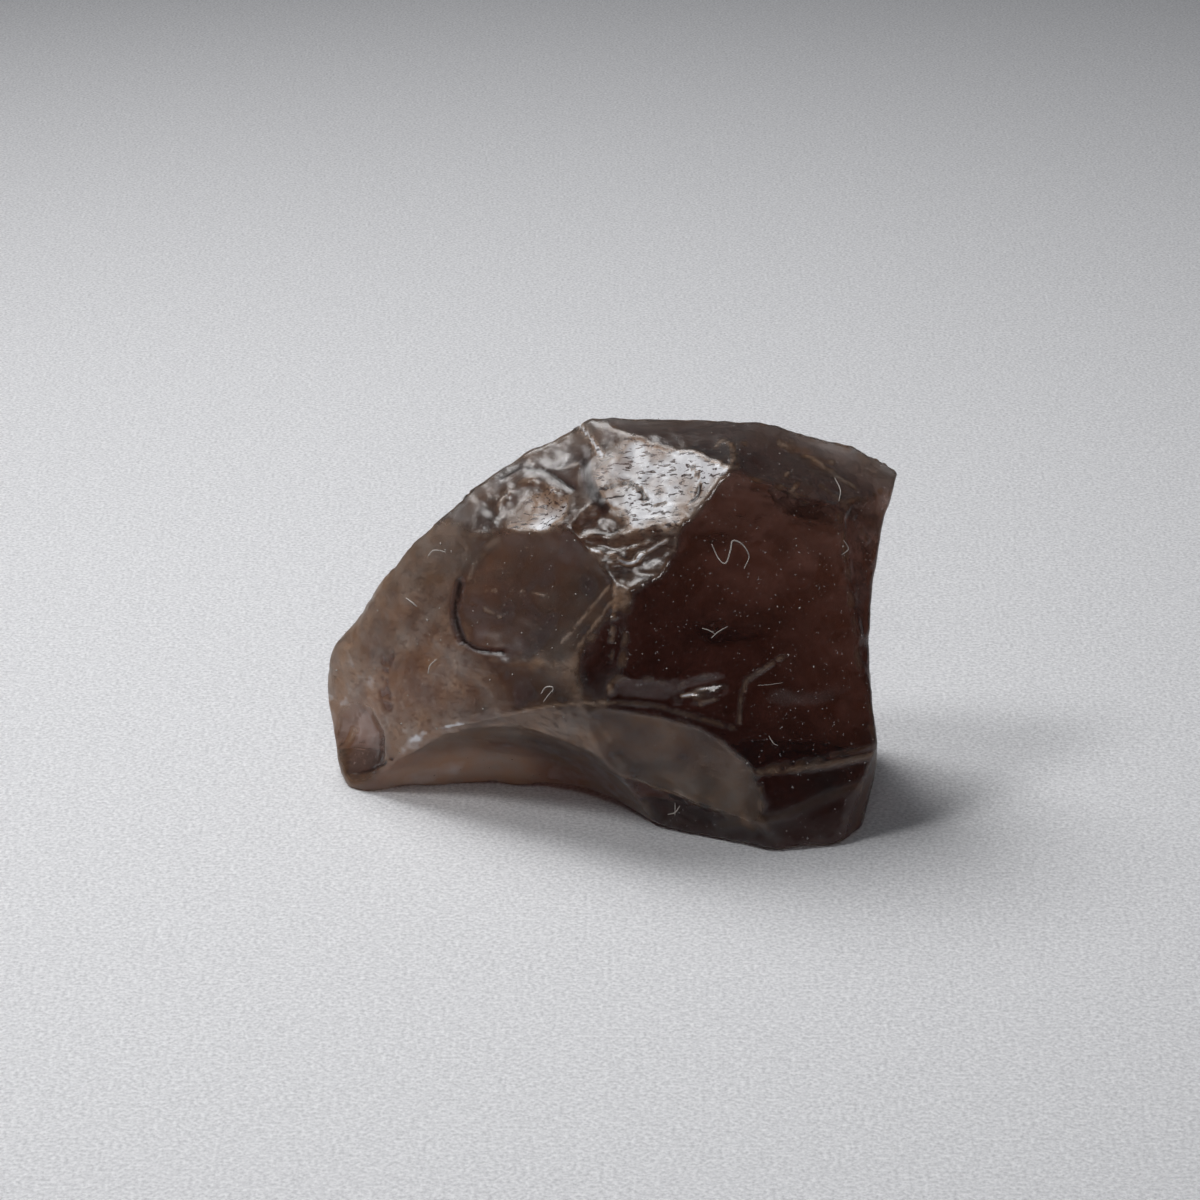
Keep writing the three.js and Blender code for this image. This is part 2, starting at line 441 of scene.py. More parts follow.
@dataclass(frozen=True)
class Trace:
    """A fine line on the skin, such as a step between two breaks, or a patch of painted light or shade: a
    smooth curve through a few places.

    Attributes:
        name: what the line is called.
        through: places on it, in mm.
        width: of the line, in mm.
        rise: how far it stands out, in mm, or sinks in if negative.
        veil: how pale it is, from 0 to 1, as crushed glass or, on the glint, glow, reflection and tip traces,
            as painted light; below 0 it takes the pale skin away and darkens the surface, which on the chip's
            lip and the bright scar's dark side is painted shade.
        gaps: how much of it is missing, from 0 to 1.
        fades: as shares of the width, how near the line is at full strength and how far off it is gone.
        gap_size: how long a gap is, in mm.
        broken: with `gaps` added, the values of the gaps' noise between which the line comes in.
    """

    name: str
    through: tuple[Triple, ...]
    width: float = 0.16
    rise: float = 0.03
    veil: float = 0.4
    gaps: float = 0.3
    fades: Pair = (0.15, 0.75)
    gap_size: float = 0.4
    broken: Pair = (-1.1, -0.3)

    def closeness(self, points: np.ndarray, curve: np.ndarray, seed: int) -> np.ndarray:
        """How much each place is on the line: 1 on it, 0 well beside it, and 0 in its gaps.

        Args:
            points: places on the skin, in mm.
            curve: places along the line, in mm.
            seed: gives each line gaps of its own.

        Returns:
            A number from 0 to 1 for each place.
        """
        near = np.full(len(points), np.inf)
        low, high = curve.min(axis=0) - self.width, curve.max(axis=0) + self.width
        reach = np.all((points > low) & (points < high), axis=1)
        start, run = curve[:-1], np.diff(curve, axis=0)
        away = points[reach][:, None, :] - start
        along = np.clip((away * run).sum(axis=2) / np.maximum((run * run).sum(axis=1), TINY), 0.0, 1.0)
        near[reach] = np.linalg.norm(away - along[..., None] * run, axis=2).min(axis=1)
        full, gone = self.fades
        strength = 1.0 - eased(near, full * self.width, gone * self.width)
        if self.gaps:
            breaks = noise(points, self.gap_size, seed, octaves=2)
            strength *= eased(breaks, *(value + self.gaps for value in self.broken))
        return strength


TRACES: tuple[Trace, ...] = (
    Trace("streak, upper", ((-0.3, -3.8, 11.2), (-1.2, -3.7, 10.0), (-2.3, -3.7, 8.6)), veil=0.35),
    Trace("streak, lower", ((-0.2, -4.3, 10.7), (-0.8, -4.2, 9.8), (-1.6, -4.3, 8.7)), veil=0.3),
    Trace("upright ridge", ((-0.1, -3.1, 12.4), (0.0, -4.4, 10.9), (-0.2, -5.0, 8.8), (-0.2, -5.7, 7.1)),
          width=0.22, rise=0.06, veil=0.35, gaps=0.8),
    Trace("lens edge", ((-5.1, -0.4, 12.1), (-5.9, -0.3, 11.2), (-6.4, -0.5, 10.2)), veil=0.25),
    Trace("crescent", ((-6.8, -0.4, 10.0), (-7.0, -0.8, 9.1), (-7.0, -1.1, 8.4), (-6.7, -1.6, 7.8)),
          width=0.42, rise=-0.12, veil=-1.0, gaps=0.2),
    Trace("crescent, foot", ((-6.7, -1.6, 7.8), (-6.0, -2.2, 7.6), (-4.9, -2.7, 7.7)),
          width=0.22, rise=-0.06, veil=-1.0, gaps=0.1),
    Trace("lens step", ((-6.7, -0.8, 9.3), (-6.0, -1.1, 9.2), (-5.0, -1.7, 8.9)), width=0.13, veil=0.5,
          gaps=0.5),
    Trace("lens scratch", ((-5.7, -0.9, 9.8), (-4.7, -1.3, 10.0), (-3.7, -1.7, 10.1), (-2.9, -2.2, 10.1)),
          width=0.1, rise=-0.01, veil=0.5, gaps=0.9),
    Trace("fork", ((5.3, -5.5, 5.6), (5.4, -5.2, 6.5), (5.6, -4.9, 7.3)), rise=0.06, veil=0.3),
    Trace("fork, arm", ((5.6, -4.9, 7.3), (6.3, -4.6, 7.7), (7.3, -4.3, 8.3)), rise=0.06, veil=0.4, gaps=0.4),
    # Painted reflection: the two heel-edge lines paint the light line that the crease between the right front
    # and the foot mirrors from the bright card.
    Trace("heel edge", ((6.2, -6.0, 3.5), (8.0, -5.6, 3.5), (9.7, -5.2, 3.6), (11.2, -3.4, 3.2)),
          width=0.25, veil=0.35, gaps=0.1),
    Trace("heel edge, inner", ((6.5, -5.9, 3.7), (8.4, -5.5, 3.8), (11.0, -3.7, 3.7)), veil=0.12, gaps=0.2),
    Trace("band edge", ((-7.8, -0.9, 7.5), (-7.0, -1.8, 6.8), (-6.0, -2.7, 6.4), (-5.4, -3.2, 6.0)),
          width=0.35, rise=0.04, veil=0.12, gaps=0.0),
    Trace("silver rim", ((-5.1, 0.0, 12.7), (-4.9, 0.8, 13.4), (-4.3, 1.1, 14.0), (-3.3, 0.8, 14.3),
                         (-2.6, 0.0, 14.1)), width=0.3, rise=0.10, veil=0.3, gaps=0.4),
    Trace("crest crack", ((-5.0, 1.7, 14.1), (-4.2, 1.7, 14.5), (-3.1, 1.2, 14.6), (-1.9, -0.2, 14.4)),
          width=0.3, rise=-0.10, veil=-1.0, gaps=0.2),
    Trace("scar arc", ((3.3, -1.3, 15.8), (3.6, -1.9, 15.4), (3.5, -2.4, 14.9), (3.2, -2.5, 14.6)),
          rise=-0.06, veil=-0.9, gaps=0.1),
    Trace("scar arc, left", ((-0.4, -0.8, 14.6), (0.3, -0.7, 14.8), (1.0, -1.2, 14.7), (1.3, -1.6, 14.5)),
          rise=-0.05, veil=-0.7, gaps=0.3),
    Trace("scar arc, low", ((1.1, -1.5, 14.4), (1.6, -2.0, 14.2), (2.1, -2.1, 14.4)), rise=-0.05, veil=-0.7),
    Trace("ring", ((4.3, -0.4, 16.3), (4.6, 0.2, 16.4), (5.0, -0.3, 16.3), (5.0, -1.5, 16.1),
                   (4.6, -2.1, 15.9), (4.3, -1.7, 16.0)), rise=0.05, veil=0.3, gaps=0.4),
    Trace("break line", ((5.1, -2.4, 15.3), (6.2, -2.3, 15.1), (7.9, -2.1, 14.7), (10.1, -1.5, 13.8)),
          rise=-0.05, veil=-0.5, gaps=0.4),
    Trace("nick", ((7.3, -1.2, 15.3), (7.6, -0.8, 15.3), (7.8, -1.3, 15.0), (7.5, -2.1, 14.9)), veil=0.35),
    Trace("bevel step", ((8.9, -0.9, 14.7), (10.1, -1.5, 13.8), (10.9, -1.2, 12.3)), width=0.3, veil=0.1),
    Trace("grey ridge", ((-0.7, -5.5, 5.6), (-0.1, -5.2, 4.5), (0.3, -5.1, 3.4)), width=0.3, rise=0.08,
          veil=0.1, gaps=0.1),
    Trace("grey edge, low", ((-0.6, -4.3, 3.0), (1.1, -5.1, 2.6), (3.2, -5.4, 2.0), (4.4, -5.6, 2.0)),
          veil=0.15, gaps=0.2),
    Trace("knob seam", ((-10.0, 0.3, 6.2), (-10.3, 0.1, 5.1), (-10.1, -0.4, 4.1)), width=0.6, rise=-0.08,
          veil=-0.5, gaps=0.5),
    # Painted highlight on the chip, and below it painted shade where the skin turns under the chip's lip.
    Trace("chip glint", ((-12.1, 0.8, 1.2), (-11.9, 1.0, 1.8), (-11.6, 1.0, 2.3)), width=0.25, rise=0.05,
          veil=0.6),
    Trace("chip lip", ((-11.9, 0.2, 0.6), (-11.0, -0.4, 0.9), (-9.9, -1.3, 1.9)), rise=-0.06, veil=-0.8),
    Trace("front lip", ((-7.4, -2.4, 4.0), (-5.0, -3.5, 5.0), (-2.6, -4.8, 6.1), (0.0, -5.8, 6.7)),
          width=0.12, rise=0.03, veil=0.3, gaps=0.0),
    Trace("grey edge, top", ((0.0, -5.8, 6.7), (1.5, -5.6, 6.5), (3.2, -5.6, 6.0), (5.1, -5.6, 5.4)),
          veil=0.18, gaps=0.1),
    Trace("knob haze", ((-12.2, 1.3, 3.6), (-11.8, 1.5, 5.4), (-10.6, 0.3, 5.0), (-10.4, -0.4, 3.4)),
          width=1.6, rise=0.0, veil=0.12, gaps=0.3),
    # Painted light: the glow traces paint pale patches where light that has crossed the thin glass shows
    # under the lip, the brow and the arch and along the foot.
    Trace("lip glow", ((-10.5, -0.1, 4.6), (-9.6, -0.9, 3.9), (-8.5, -1.6, 4.0), (-7.2, -2.2, 4.7)),
          width=2.4, rise=0.0, veil=0.1, gaps=0.0),
    Trace("brow glow", ((-9.3, -1.4, 2.4), (-7.4, -2.4, 3.3), (-5.2, -3.4, 4.1), (-3.2, -4.4, 5.0)),
          width=1.8, rise=0.0, veil=0.14, gaps=0.0),
    Trace("arch glow", ((-9.1, -0.4, 0.4), (-7.9, -0.5, 0.9), (-6.4, -0.7, 1.3), (-4.6, -0.9, 1.3)),
          width=2.6, rise=0.0, veil=0.42, gaps=0.0),
    Trace("arch glow, strong", ((-9.2, -0.4, 0.4), (-8.3, -0.5, 0.8), (-7.3, -0.6, 1.2)), width=1.1,
          rise=0.0, veil=0.08, gaps=0.0),
    Trace("foot glow", ((4.6, -5.6, 0.8), (7.1, -6.0, 1.4), (9.3, -5.6, 2.2), (10.7, -5.2, 2.5)),
          width=0.5, rise=0.0, veil=0.08, gaps=0.0),
    Trace("top scratch", ((7.1, 0.9, 16.0), (8.6, 0.6, 15.3), (10.3, 0.2, 14.2)), width=0.35, veil=0.3,
          gaps=0.7),
    Trace("top scratch, upper", ((7.7, 1.3, 15.9), (9.4, 1.2, 15.0)), width=0.3, veil=0.3, gaps=0.7),
    # The tip of the bright scar is painted highlight that carries its reflection of the lamp up to the crest;
    # its dark side is painted shade where the scar turns away from the lamp.
    Trace("scar tip", ((-1.5, 2.2, 16.3), (-1.1, 1.6, 16.0), (-0.8, 0.9, 15.8), (-0.6, 0.4, 15.6)), width=0.3,
          rise=0.0, veil=0.7, gaps=0.1),
    Trace("scar, dark side", ((-1.3, 0.5, 15.3), (-1.2, -0.2, 14.8), (-0.9, -0.9, 14.3), (-0.5, -1.4, 13.9)),
          width=0.45, rise=0.0, veil=-0.9, gaps=0.0),
    # Pale splinters below the bright scar, painted near white as a highlight where their small facets catch
    # the lamp.
    Trace("shard", ((-1.0, -2.7, 12.5), (-0.2, -3.1, 12.4), (0.4, -3.7, 12.3), (0.9, -3.8, 12.4),
                    (1.1, -3.8, 12.7)), width=0.22, rise=0.04, veil=0.7),
    Trace("splinter, right", ((1.0, -3.8, 12.6), (1.6, -3.8, 13.0), (2.2, -3.6, 13.3)), rise=0.05, veil=0.6),
    Trace("splinter, left", ((0.7, -3.3, 12.8), (1.3, -3.4, 13.1), (1.6, -3.4, 13.2)), rise=0.05, veil=0.5),
    # Painted glint: the bright sliver that the glint scar mirrors from the front lamp is painted on as
    # near-white skin.
    Trace("glint", ((2.9, -5.4, 6.8), (3.6, -5.2, 7.0), (4.3, -5.1, 7.2)), width=0.14, rise=0.0, veil=0.9,
          gaps=0.2),
    Trace("glint, low", ((3.6, -5.5, 6.5), (4.0, -5.4, 6.6), (4.3, -5.3, 6.7)), width=0.12, veil=0.5),
)


@dataclass(frozen=True)
class StoneShape:
    """The stone as a field: its height is positive outside the glass and negative inside it.

    Attributes:
        faces: all faces.
        edge: how far a fresh ridge is rounded, in mm.
        worn_edge: the same on the worn thin end.
        worn_along: the places along X between which the wear of the thin end grows, in mm.
        worn_above: the heights between which it grows, in mm.
        foot_wear: how worn the ridges at the foot are, where the thin end's are 1.
        foot_below: the heights between which that wear grows, in mm.
        seen_from: the compass angle and the elevation along which marks and lint are laid on the skin.
        stand_off: how far outside a curve its laying begins, in mm.
        strides: how many steps a line takes to the skin.
    """

    faces: tuple[Face, ...] = FACES
    edge: float = 0.04
    worn_edge: float = 0.16
    worn_along: Pair = (-7.0, -11.5)
    worn_above: Pair = (2.5, 5.0)
    foot_wear: float = 0.6
    foot_below: Pair = (2.0, 0.5)
    seen_from: Pair = (0.0, 23.0)
    stand_off: float = 3.0
    strides: int = 60

    def heights(self, points: np.ndarray) -> np.ndarray:
        """The height of each place over each face, a column for a face."""
        return np.stack([face.height(points) for face in self.faces], axis=1)

    def softness(self, points: np.ndarray) -> np.ndarray:
        """How far a ridge is rounded: more on the thin end and near the ground, where the stone is worn.

        Args:
            points: places in mm.

        Returns:
            A column with the softness at each place, in mm.
        """
        worn = eased(points[:, 0], *self.worn_along) * eased(points[:, 2], *self.worn_above)
        foot = self.foot_wear * eased(points[:, 2], *self.foot_below)
        return (self.edge + (self.worn_edge - self.edge) * np.maximum(worn, foot))[:, None]

    def height(self, points: np.ndarray, rises: np.ndarray | float = 0.0) -> np.ndarray:
        """The stone's own height: a rounded greatest of the faces' heights.

        It is k times the logarithm of the sum of exp(height / k), where k is the softness.

        Args:
            points: places in mm.
            rises: how far each face rises above its plain shape at each place, a column for a face.

        Returns:
            A height in mm for each place.
        """
        heights = self.heights(points) - rises
        k = self.softness(points)
        top = heights.max(axis=1, keepdims=True)
        return (top + k * np.log(np.exp((heights - top) / k).sum(axis=1, keepdims=True)))[:, 0]

    def shares(self, points: np.ndarray, rises: np.ndarray | float = 0.0,
               softness: float | None = None) -> np.ndarray:
        """How much of each place belongs to each face: exp(height / k), scaled to a sum of 1.

        Args:
            points: places in mm.
            rises: how far each face rises above its plain shape at each place, a column for a face.
            softness: one k for all places, in mm, in place of the stone's own.

        Returns:
            Shares from 0 to 1, a column for a face.
        """
        heights = self.heights(points) - rises
        k = self.softness(points) if softness is None else softness
        part = np.exp((heights - heights.max(axis=1, keepdims=True)) / k)
        return part / part.sum(axis=1, keepdims=True)

    def mixed_slope(self, points: np.ndarray, shares: np.ndarray) -> np.ndarray:
        """The faces' own slopes at each place, mixed by their shares."""
        return sum(share[:, None] * face.slope(points) for face, share in zip(self.faces, shares.T))

    def slope(self, points: np.ndarray, shares: np.ndarray) -> np.ndarray:
        """The way out of the glass at each place, of length 1."""
        out = self.mixed_slope(points, shares)
        return out / np.linalg.norm(out, axis=1)[:, None]

    def bend(self, points: np.ndarray, shares: np.ndarray) -> np.ndarray:
        """0 on a face, and on a ridge 1 less the cosine of half the angle between its faces' slopes."""
        return 1.0 - np.linalg.norm(self.mixed_slope(points, shares), axis=1)

    def land(self, starts: np.ndarray, heading: np.ndarray) -> np.ndarray:
        """Where straight lines from outside meet the glass, by steps as long as the height is.

        Args:
            starts: where the lines begin, in mm.
            heading: their direction, of length 1.

        Returns:
            A place on the surface for each line that meets the stone, and one far off for each that doesn't.
        """
        places = starts.copy()
        for _ in range(self.strides):
            places = places + heading * self.height(places)[:, None]
        return places

    def lay(self, knots: tuple[Triple, ...], steps: int) -> np.ndarray:
        """A smooth curve through a few places, moved to the skin along the line from `seen_from`."""
        view = toward(*self.seen_from)
        return self.land(curve_through(knots, steps) + self.stand_off * view, -view)


# ---------------------------------------------------------------------------------------------------------
# Meshes


def box_shell(cells: tuple[int, int, int]) -> tuple[np.ndarray, np.ndarray]:
    """The surface of a box that is cut into whole cells, as one closed skin of four-sided faces.

    Each side of the box is a grid of two parameters. A corner that sides share is one vertex.

    Args:
        cells: how many cells the box has along X, Y and Z.

    Returns:
        The vertices, each from -1 to 1 on every axis, and the four vertices of each face, turned outwards.
    """
    sides = []
    for axis in range(3):
        u, v = (axis + 1) % 3, (axis + 2) % 3
        first, second = np.meshgrid(np.arange(cells[u]), np.arange(cells[v]), indexing="ij")
        for side in (0, cells[axis]):
            corners = np.zeros((first.size, 4, 3), np.int64)
            corners[:, :, axis] = side
            corners[:, :, u] = first.reshape(-1, 1) + np.array([0, 1, 1, 0])
            corners[:, :, v] = second.reshape(-1, 1) + np.array([0, 0, 1, 1])
            sides.append(corners if side else corners[:, ::-1])
    lattice = np.concatenate(sides).reshape(-1, 3)
    strides = np.array([(cells[1] + 1) * (cells[2] + 1), cells[2] + 1, 1])
    _, kept, faces = np.unique(lattice @ strides, return_index=True, return_inverse=True)
    return lattice[kept] / np.array(cells) * 2.0 - 1.0, faces.reshape(-1, 4)


def make_mesh(name: str, vertices: np.ndarray, faces: np.ndarray) -> bpy.types.Object:
    """Puts a smooth-shaded mesh into the scene.

    Args:
        name: of the piece.
        vertices: places in mm.
        faces: rows of vertex numbers, all rows of one length.

    Returns:
        The object, at the origin, with its mesh in metres.
    """
    sides = faces.shape[1]
    mesh = bpy.data.meshes.new(name)
    mesh.vertices.add(len(vertices))
    mesh.vertices.foreach_set("co", (vertices * MM).astype(np.float32).ravel())
    mesh.loops.add(faces.size)
    mesh.loops.foreach_set("vertex_index", faces.astype(np.int32).ravel())
    mesh.polygons.add(len(faces))
    mesh.polygons.foreach_set("loop_start", np.arange(0, faces.size, sides, dtype=np.int32))
    mesh.update(calc_edges=True)
    mesh.validate()
    mesh.shade_smooth()
    piece = bpy.data.objects.new(name, mesh)
    bpy.context.scene.collection.objects.link(piece)
    return piece


def set_attribute(piece: bpy.types.Object, name: str, values: np.ndarray) -> None:
    """Gives each vertex of a piece a number that its material can read."""
    attribute = piece.data.attributes.new(name, "FLOAT", "POINT")
    attribute.data.foreach_set("value", values.astype(np.float32))


# ---------------------------------------------------------------------------------------------------------
# Materials


def linear(hex_colour: str) -> tuple[float, float, float, float]:
    """Turns an sRGB hex colour such as '#3b2a24' into linear light with an alpha of 1."""
    parts = [int(hex_colour[i : i + 2], 16) / 255.0 for i in (1, 3, 5)]
    return (*[p / 12.92 if p <= 0.04045 else ((p + 0.055) / 1.055) ** 2.4 for p in parts], 1.0)


def scale_for(size_mm: float) -> float:
    """The scale of a noise whose features are this wide on a piece that is in metres."""
    return 1.0 / (size_mm * MM)


def add_node(tree: bpy.types.NodeTree, kind: str, inputs: dict | None = None, **settings) -> bpy.types.Node:
    """Adds a node, sets it and fills its inputs.

    Args:
        tree: the node tree.
        kind: the node's type.
        inputs: for each input's name or number, a value, or another node's output to link.
        settings: the node's own settings.

    Returns:
        The node.
    """
    node = tree.nodes.new(kind)
    for name, value in settings.items():
        setattr(node, name, value)
    for name, value in (inputs or {}).items():
        if isinstance(value, Socket):
            tree.links.new(value, node.inputs[name])
        else:
            node.inputs[name].default_value = value
    return node


def empty_material(name: str) -> tuple[bpy.types.Material, bpy.types.NodeTree]:
    """Adds a material with no nodes in it.

    Args:
        name: of the material.

    Returns:
        The material and its node tree.
    """
    material = bpy.data.materials.new(name)
    material.use_nodes = True
    material.node_tree.nodes.clear()
    return material, material.node_tree


@dataclass(frozen=True)
class SmokyObsidian:
    """Volcanic glass, broken and partly weathered.

    A fresh break is as smooth as poured glass and shows the dark inside. Weathering leaves a fine-grained,
    silky skin that catches light from every side, so that those faces look grey.

    Attributes:
        tint: of light that has crossed the glass.
        density: of the absorption, per metre.
        ior: index of refraction.
        skin_warm: the weathered skin where it is stained.
        skin_cool: the weathered skin where it is clean.
        crushed: the near-white skin where it is crushed, which where the veil is high is also a painted
            highlight.
        dark_lines_and_painted_shade: colour of the dark traces, dark lines in cracks, grooves and seams and
            painted shade under the chip's lip and on the bright scar's dark side.
        fine_grain_mm: width of the finest bumps.
        coarse_grain_mm: width of the larger ones.
        grain_height_mm: how high they stand where the grain is full.
        rough_spread: the least and the greatest roughness from bump to bump, as a share of the face's own.
        streak_mm: size of the dark streaks in a crushed skin along X, Y and Z.
        streaked: the values of the streaks' noise between which a streak turns dark.
        fleck_mm: width of the pale flecks that are all over the glass.
        flecked: the values of the flecks' noise between which a fleck turns pale.
        fleck_veil: the veil of a fleck.
        patch_mm: width of the stained patches.
        stained: the values of the patches' noise between which the skin turns from cool to warm.
        covered: the veil from which the surface has the skin's full colour.
        crushed_from: the veils between which the skin turns from weathered to crushed.
    """

    tint: str = "#ae7a5d"
    density: float = 460.0
    ior: float = 1.49
    skin_warm: str = "#b98d68"
    skin_cool: str = "#b3a59a"
    crushed: str = "#ecebee"
    dark_lines_and_painted_shade: str = "#2a1e19"
    fine_grain_mm: float = 0.06
    coarse_grain_mm: float = 0.22
    grain_height_mm: float = 0.012
    rough_spread: Pair = (0.8, 1.2)
    streak_mm: Triple = (0.9, 0.16, 0.12)
    streaked: Pair = (0.56, 0.61)
    fleck_mm: float = 0.11
    flecked: Pair = (0.7, 0.76)
    fleck_veil: float = 0.28
    patch_mm: float = 1.3
    stained: Pair = (0.3, 0.75)
    covered: float = 0.08
    crushed_from: Pair = (0.55, 0.74)

    def make(self) -> bpy.types.Material:
        """Builds the material. Roughness, grain, veil, grit and soil are the stone's own attributes.

        Returns:
            The material.
        """
        material, tree = empty_material("smoky_obsidian_broken")
        place = add_node(tree, "ShaderNodeTexCoord").outputs["Object"]
        rough, grain, veil, grit, dark_lines_and_painted_shade = (
            add_node(tree, "ShaderNodeAttribute", attribute_name=name).outputs["Fac"]
            for name in ("roughness", "grain", "veil", "grit", "dark_lines_and_painted_shade"))
        normal, roughness = self.add_relief(tree, place, rough, grain)
        clear = self.add_clearness(tree, place, veil, grit)
        colour = self.add_colour(tree, place, veil, dark_lines_and_painted_shade)
        glass = add_node(tree, "ShaderNodeBsdfPrincipled", {
            "Base Color": colour, "IOR": self.ior, "Transmission Weight": clear,
            "Roughness": roughness, "Normal": normal})
        smoke = add_node(tree, "ShaderNodeVolumeAbsorption", {
            "Color": linear(self.tint), "Density": self.density})
        add_node(tree, "ShaderNodeOutputMaterial", {
            "Surface": glass.outputs[0], "Volume": smoke.outputs[0]})
        return material

    def add_relief(self, tree: bpy.types.NodeTree, place: Socket, rough: Socket,
                   grain: Socket) -> tuple[Socket, Socket]:
        """Bumps of two sizes, which raise the surface a little and make its roughness uneven.

        Args:
            tree: the node tree.
            place: where on the stone.
            rough: how rough the face is.
            grain: how strongly the bumps show.

        Returns:
            The normal and the roughness.
        """
        fine = add_node(tree, "ShaderNodeTexNoise", {
            "Vector": place, "Scale": scale_for(self.fine_grain_mm), "Detail": 2.0})
        coarse = add_node(tree, "ShaderNodeTexNoise", {
            "Vector": place, "Scale": scale_for(self.coarse_grain_mm), "Detail": 4.0})
        height = add_node(tree, "ShaderNodeMath", {0: coarse.outputs["Fac"], 1: fine.outputs["Fac"]},
                          operation="ADD")
        bump = add_node(tree, "ShaderNodeBump", {
            "Strength": grain, "Distance": self.grain_height_mm * MM, "Height": height.outputs[0]})
        least, greatest = self.rough_spread
        spread = add_node(tree, "ShaderNodeMapRange", {
            "Value": coarse.outputs["Fac"], "To Min": least, "To Max": greatest})
        roughness = add_node(tree, "ShaderNodeMath", {0: rough, 1: spread.outputs[0]}, operation="MULTIPLY")
        return bump.outputs[0], roughness.outputs[0]

    def add_clearness(self, tree: bpy.types.NodeTree, place: Socket, veil: Socket, grit: Socket) -> Socket:
        """How much of the surface is clear glass: what the veil and the pale flecks leave of it.

        Dark streaks break the veil: there the surface stays clear, and the dark inside shows.

        Args:
            tree: the node tree.
            place: where on the stone.
            veil: how much of the surface is a pale skin.
            grit: how much that skin is broken by dark streaks.

        Returns:
            A number from 0 to 1.
        """
        drawn = add_node(tree, "ShaderNodeMapping", {
            "Vector": place, "Scale": tuple(scale_for(size) for size in self.streak_mm)},
            vector_type="POINT")
        streaks = add_node(tree, "ShaderNodeTexNoise", {
            "Vector": drawn.outputs[0], "Scale": 1.0, "Detail": 2.0, "Distortion": 0.6})
        low, high = self.streaked
        dark = add_node(tree, "ShaderNodeMapRange", {
            "Value": streaks.outputs["Fac"], "From Min": low, "From Max": high}, clamp=True)
        dirt = add_node(tree, "ShaderNodeMath", {0: dark.outputs[0], 1: grit}, operation="MULTIPLY")
        left = add_node(tree, "ShaderNodeMath", {0: 1.0, 1: dirt.outputs[0]}, operation="SUBTRACT")
        skin = add_node(tree, "ShaderNodeMath", {0: veil, 1: left.outputs[0]}, operation="MULTIPLY")
        grains = add_node(tree, "ShaderNodeTexNoise", {
            "Vector": place, "Scale": scale_for(self.fleck_mm), "Detail": 1.0})
        low, high = self.flecked
        flecks = add_node(tree, "ShaderNodeMapRange", {
            "Value": grains.outputs["Fac"], "From Min": low, "From Max": high,
            "To Max": self.fleck_veil}, clamp=True)
        pale_parts = add_node(tree, "ShaderNodeMath", {0: skin.outputs[0], 1: flecks.outputs[0]},
                              operation="ADD", use_clamp=True)
        clear = add_node(tree, "ShaderNodeMath", {0: 1.0, 1: pale_parts.outputs[0]}, operation="SUBTRACT")
        return clear.outputs[0]

    def add_colour(self, tree: bpy.types.NodeTree, place: Socket, veil: Socket, dark_lines_and_painted_shade: Socket) -> Socket:
        """The surface's colour: white for clear glass, and over that the skin's, near white where it is
        crushed or painted highlight, and the dark traces' colour of dark lines and painted shade.

        Args:
            tree: the node tree.
            place: where on the stone.
            veil: how much of the surface is a pale skin.
            dark_lines_and_painted_shade: how dark the traces make it, as dark lines and as painted shade.

        Returns:
            The colour.
        """
        cover = add_node(tree, "ShaderNodeMapRange", {"Value": veil, "From Max": self.covered}, clamp=True)
        low, high = self.crushed_from
        pale = add_node(tree, "ShaderNodeMapRange", {"Value": veil, "From Min": low, "From Max": high},
                        clamp=True)
        patches = add_node(tree, "ShaderNodeTexNoise", {
            "Vector": place, "Scale": scale_for(self.patch_mm), "Detail": 5.0, "Roughness": 0.6})
        low, high = self.stained
        warmth = add_node(tree, "ShaderNodeMapRange", {
            "Value": patches.outputs["Fac"], "From Min": low, "From Max": high}, clamp=True)
        skin_tone = add_node(tree, "ShaderNodeMix", {
            "Factor": warmth.outputs[0], 6: linear(self.skin_cool), 7: linear(self.skin_warm)},
            data_type="RGBA")
        # Near white where the veil is high: crushed glass, and a painted highlight on the scars and traces
        # that stand in for the lamp's reflection.
        tone = add_node(tree, "ShaderNodeMix", {
            "Factor": pale.outputs[0], 6: skin_tone.outputs[2], 7: linear(self.crushed)}, data_type="RGBA")
        colour = add_node(tree, "ShaderNodeMix", {
            "Factor": cover.outputs[0], 6: linear("#ffffff"), 7: tone.outputs[2]}, data_type="RGBA")
        # Darkened where the dark traces lie: dark lines in cracks, grooves and seams, and painted shade under
        # the chip's lip and on the bright scar's dark side.
        darkened = add_node(tree, "ShaderNodeMix", {
            "Factor": dark_lines_and_painted_shade, 6: colour.outputs[2], 7: linear(self.dark_lines_and_painted_shade)}, data_type="RGBA")
        return darkened.outputs[2]


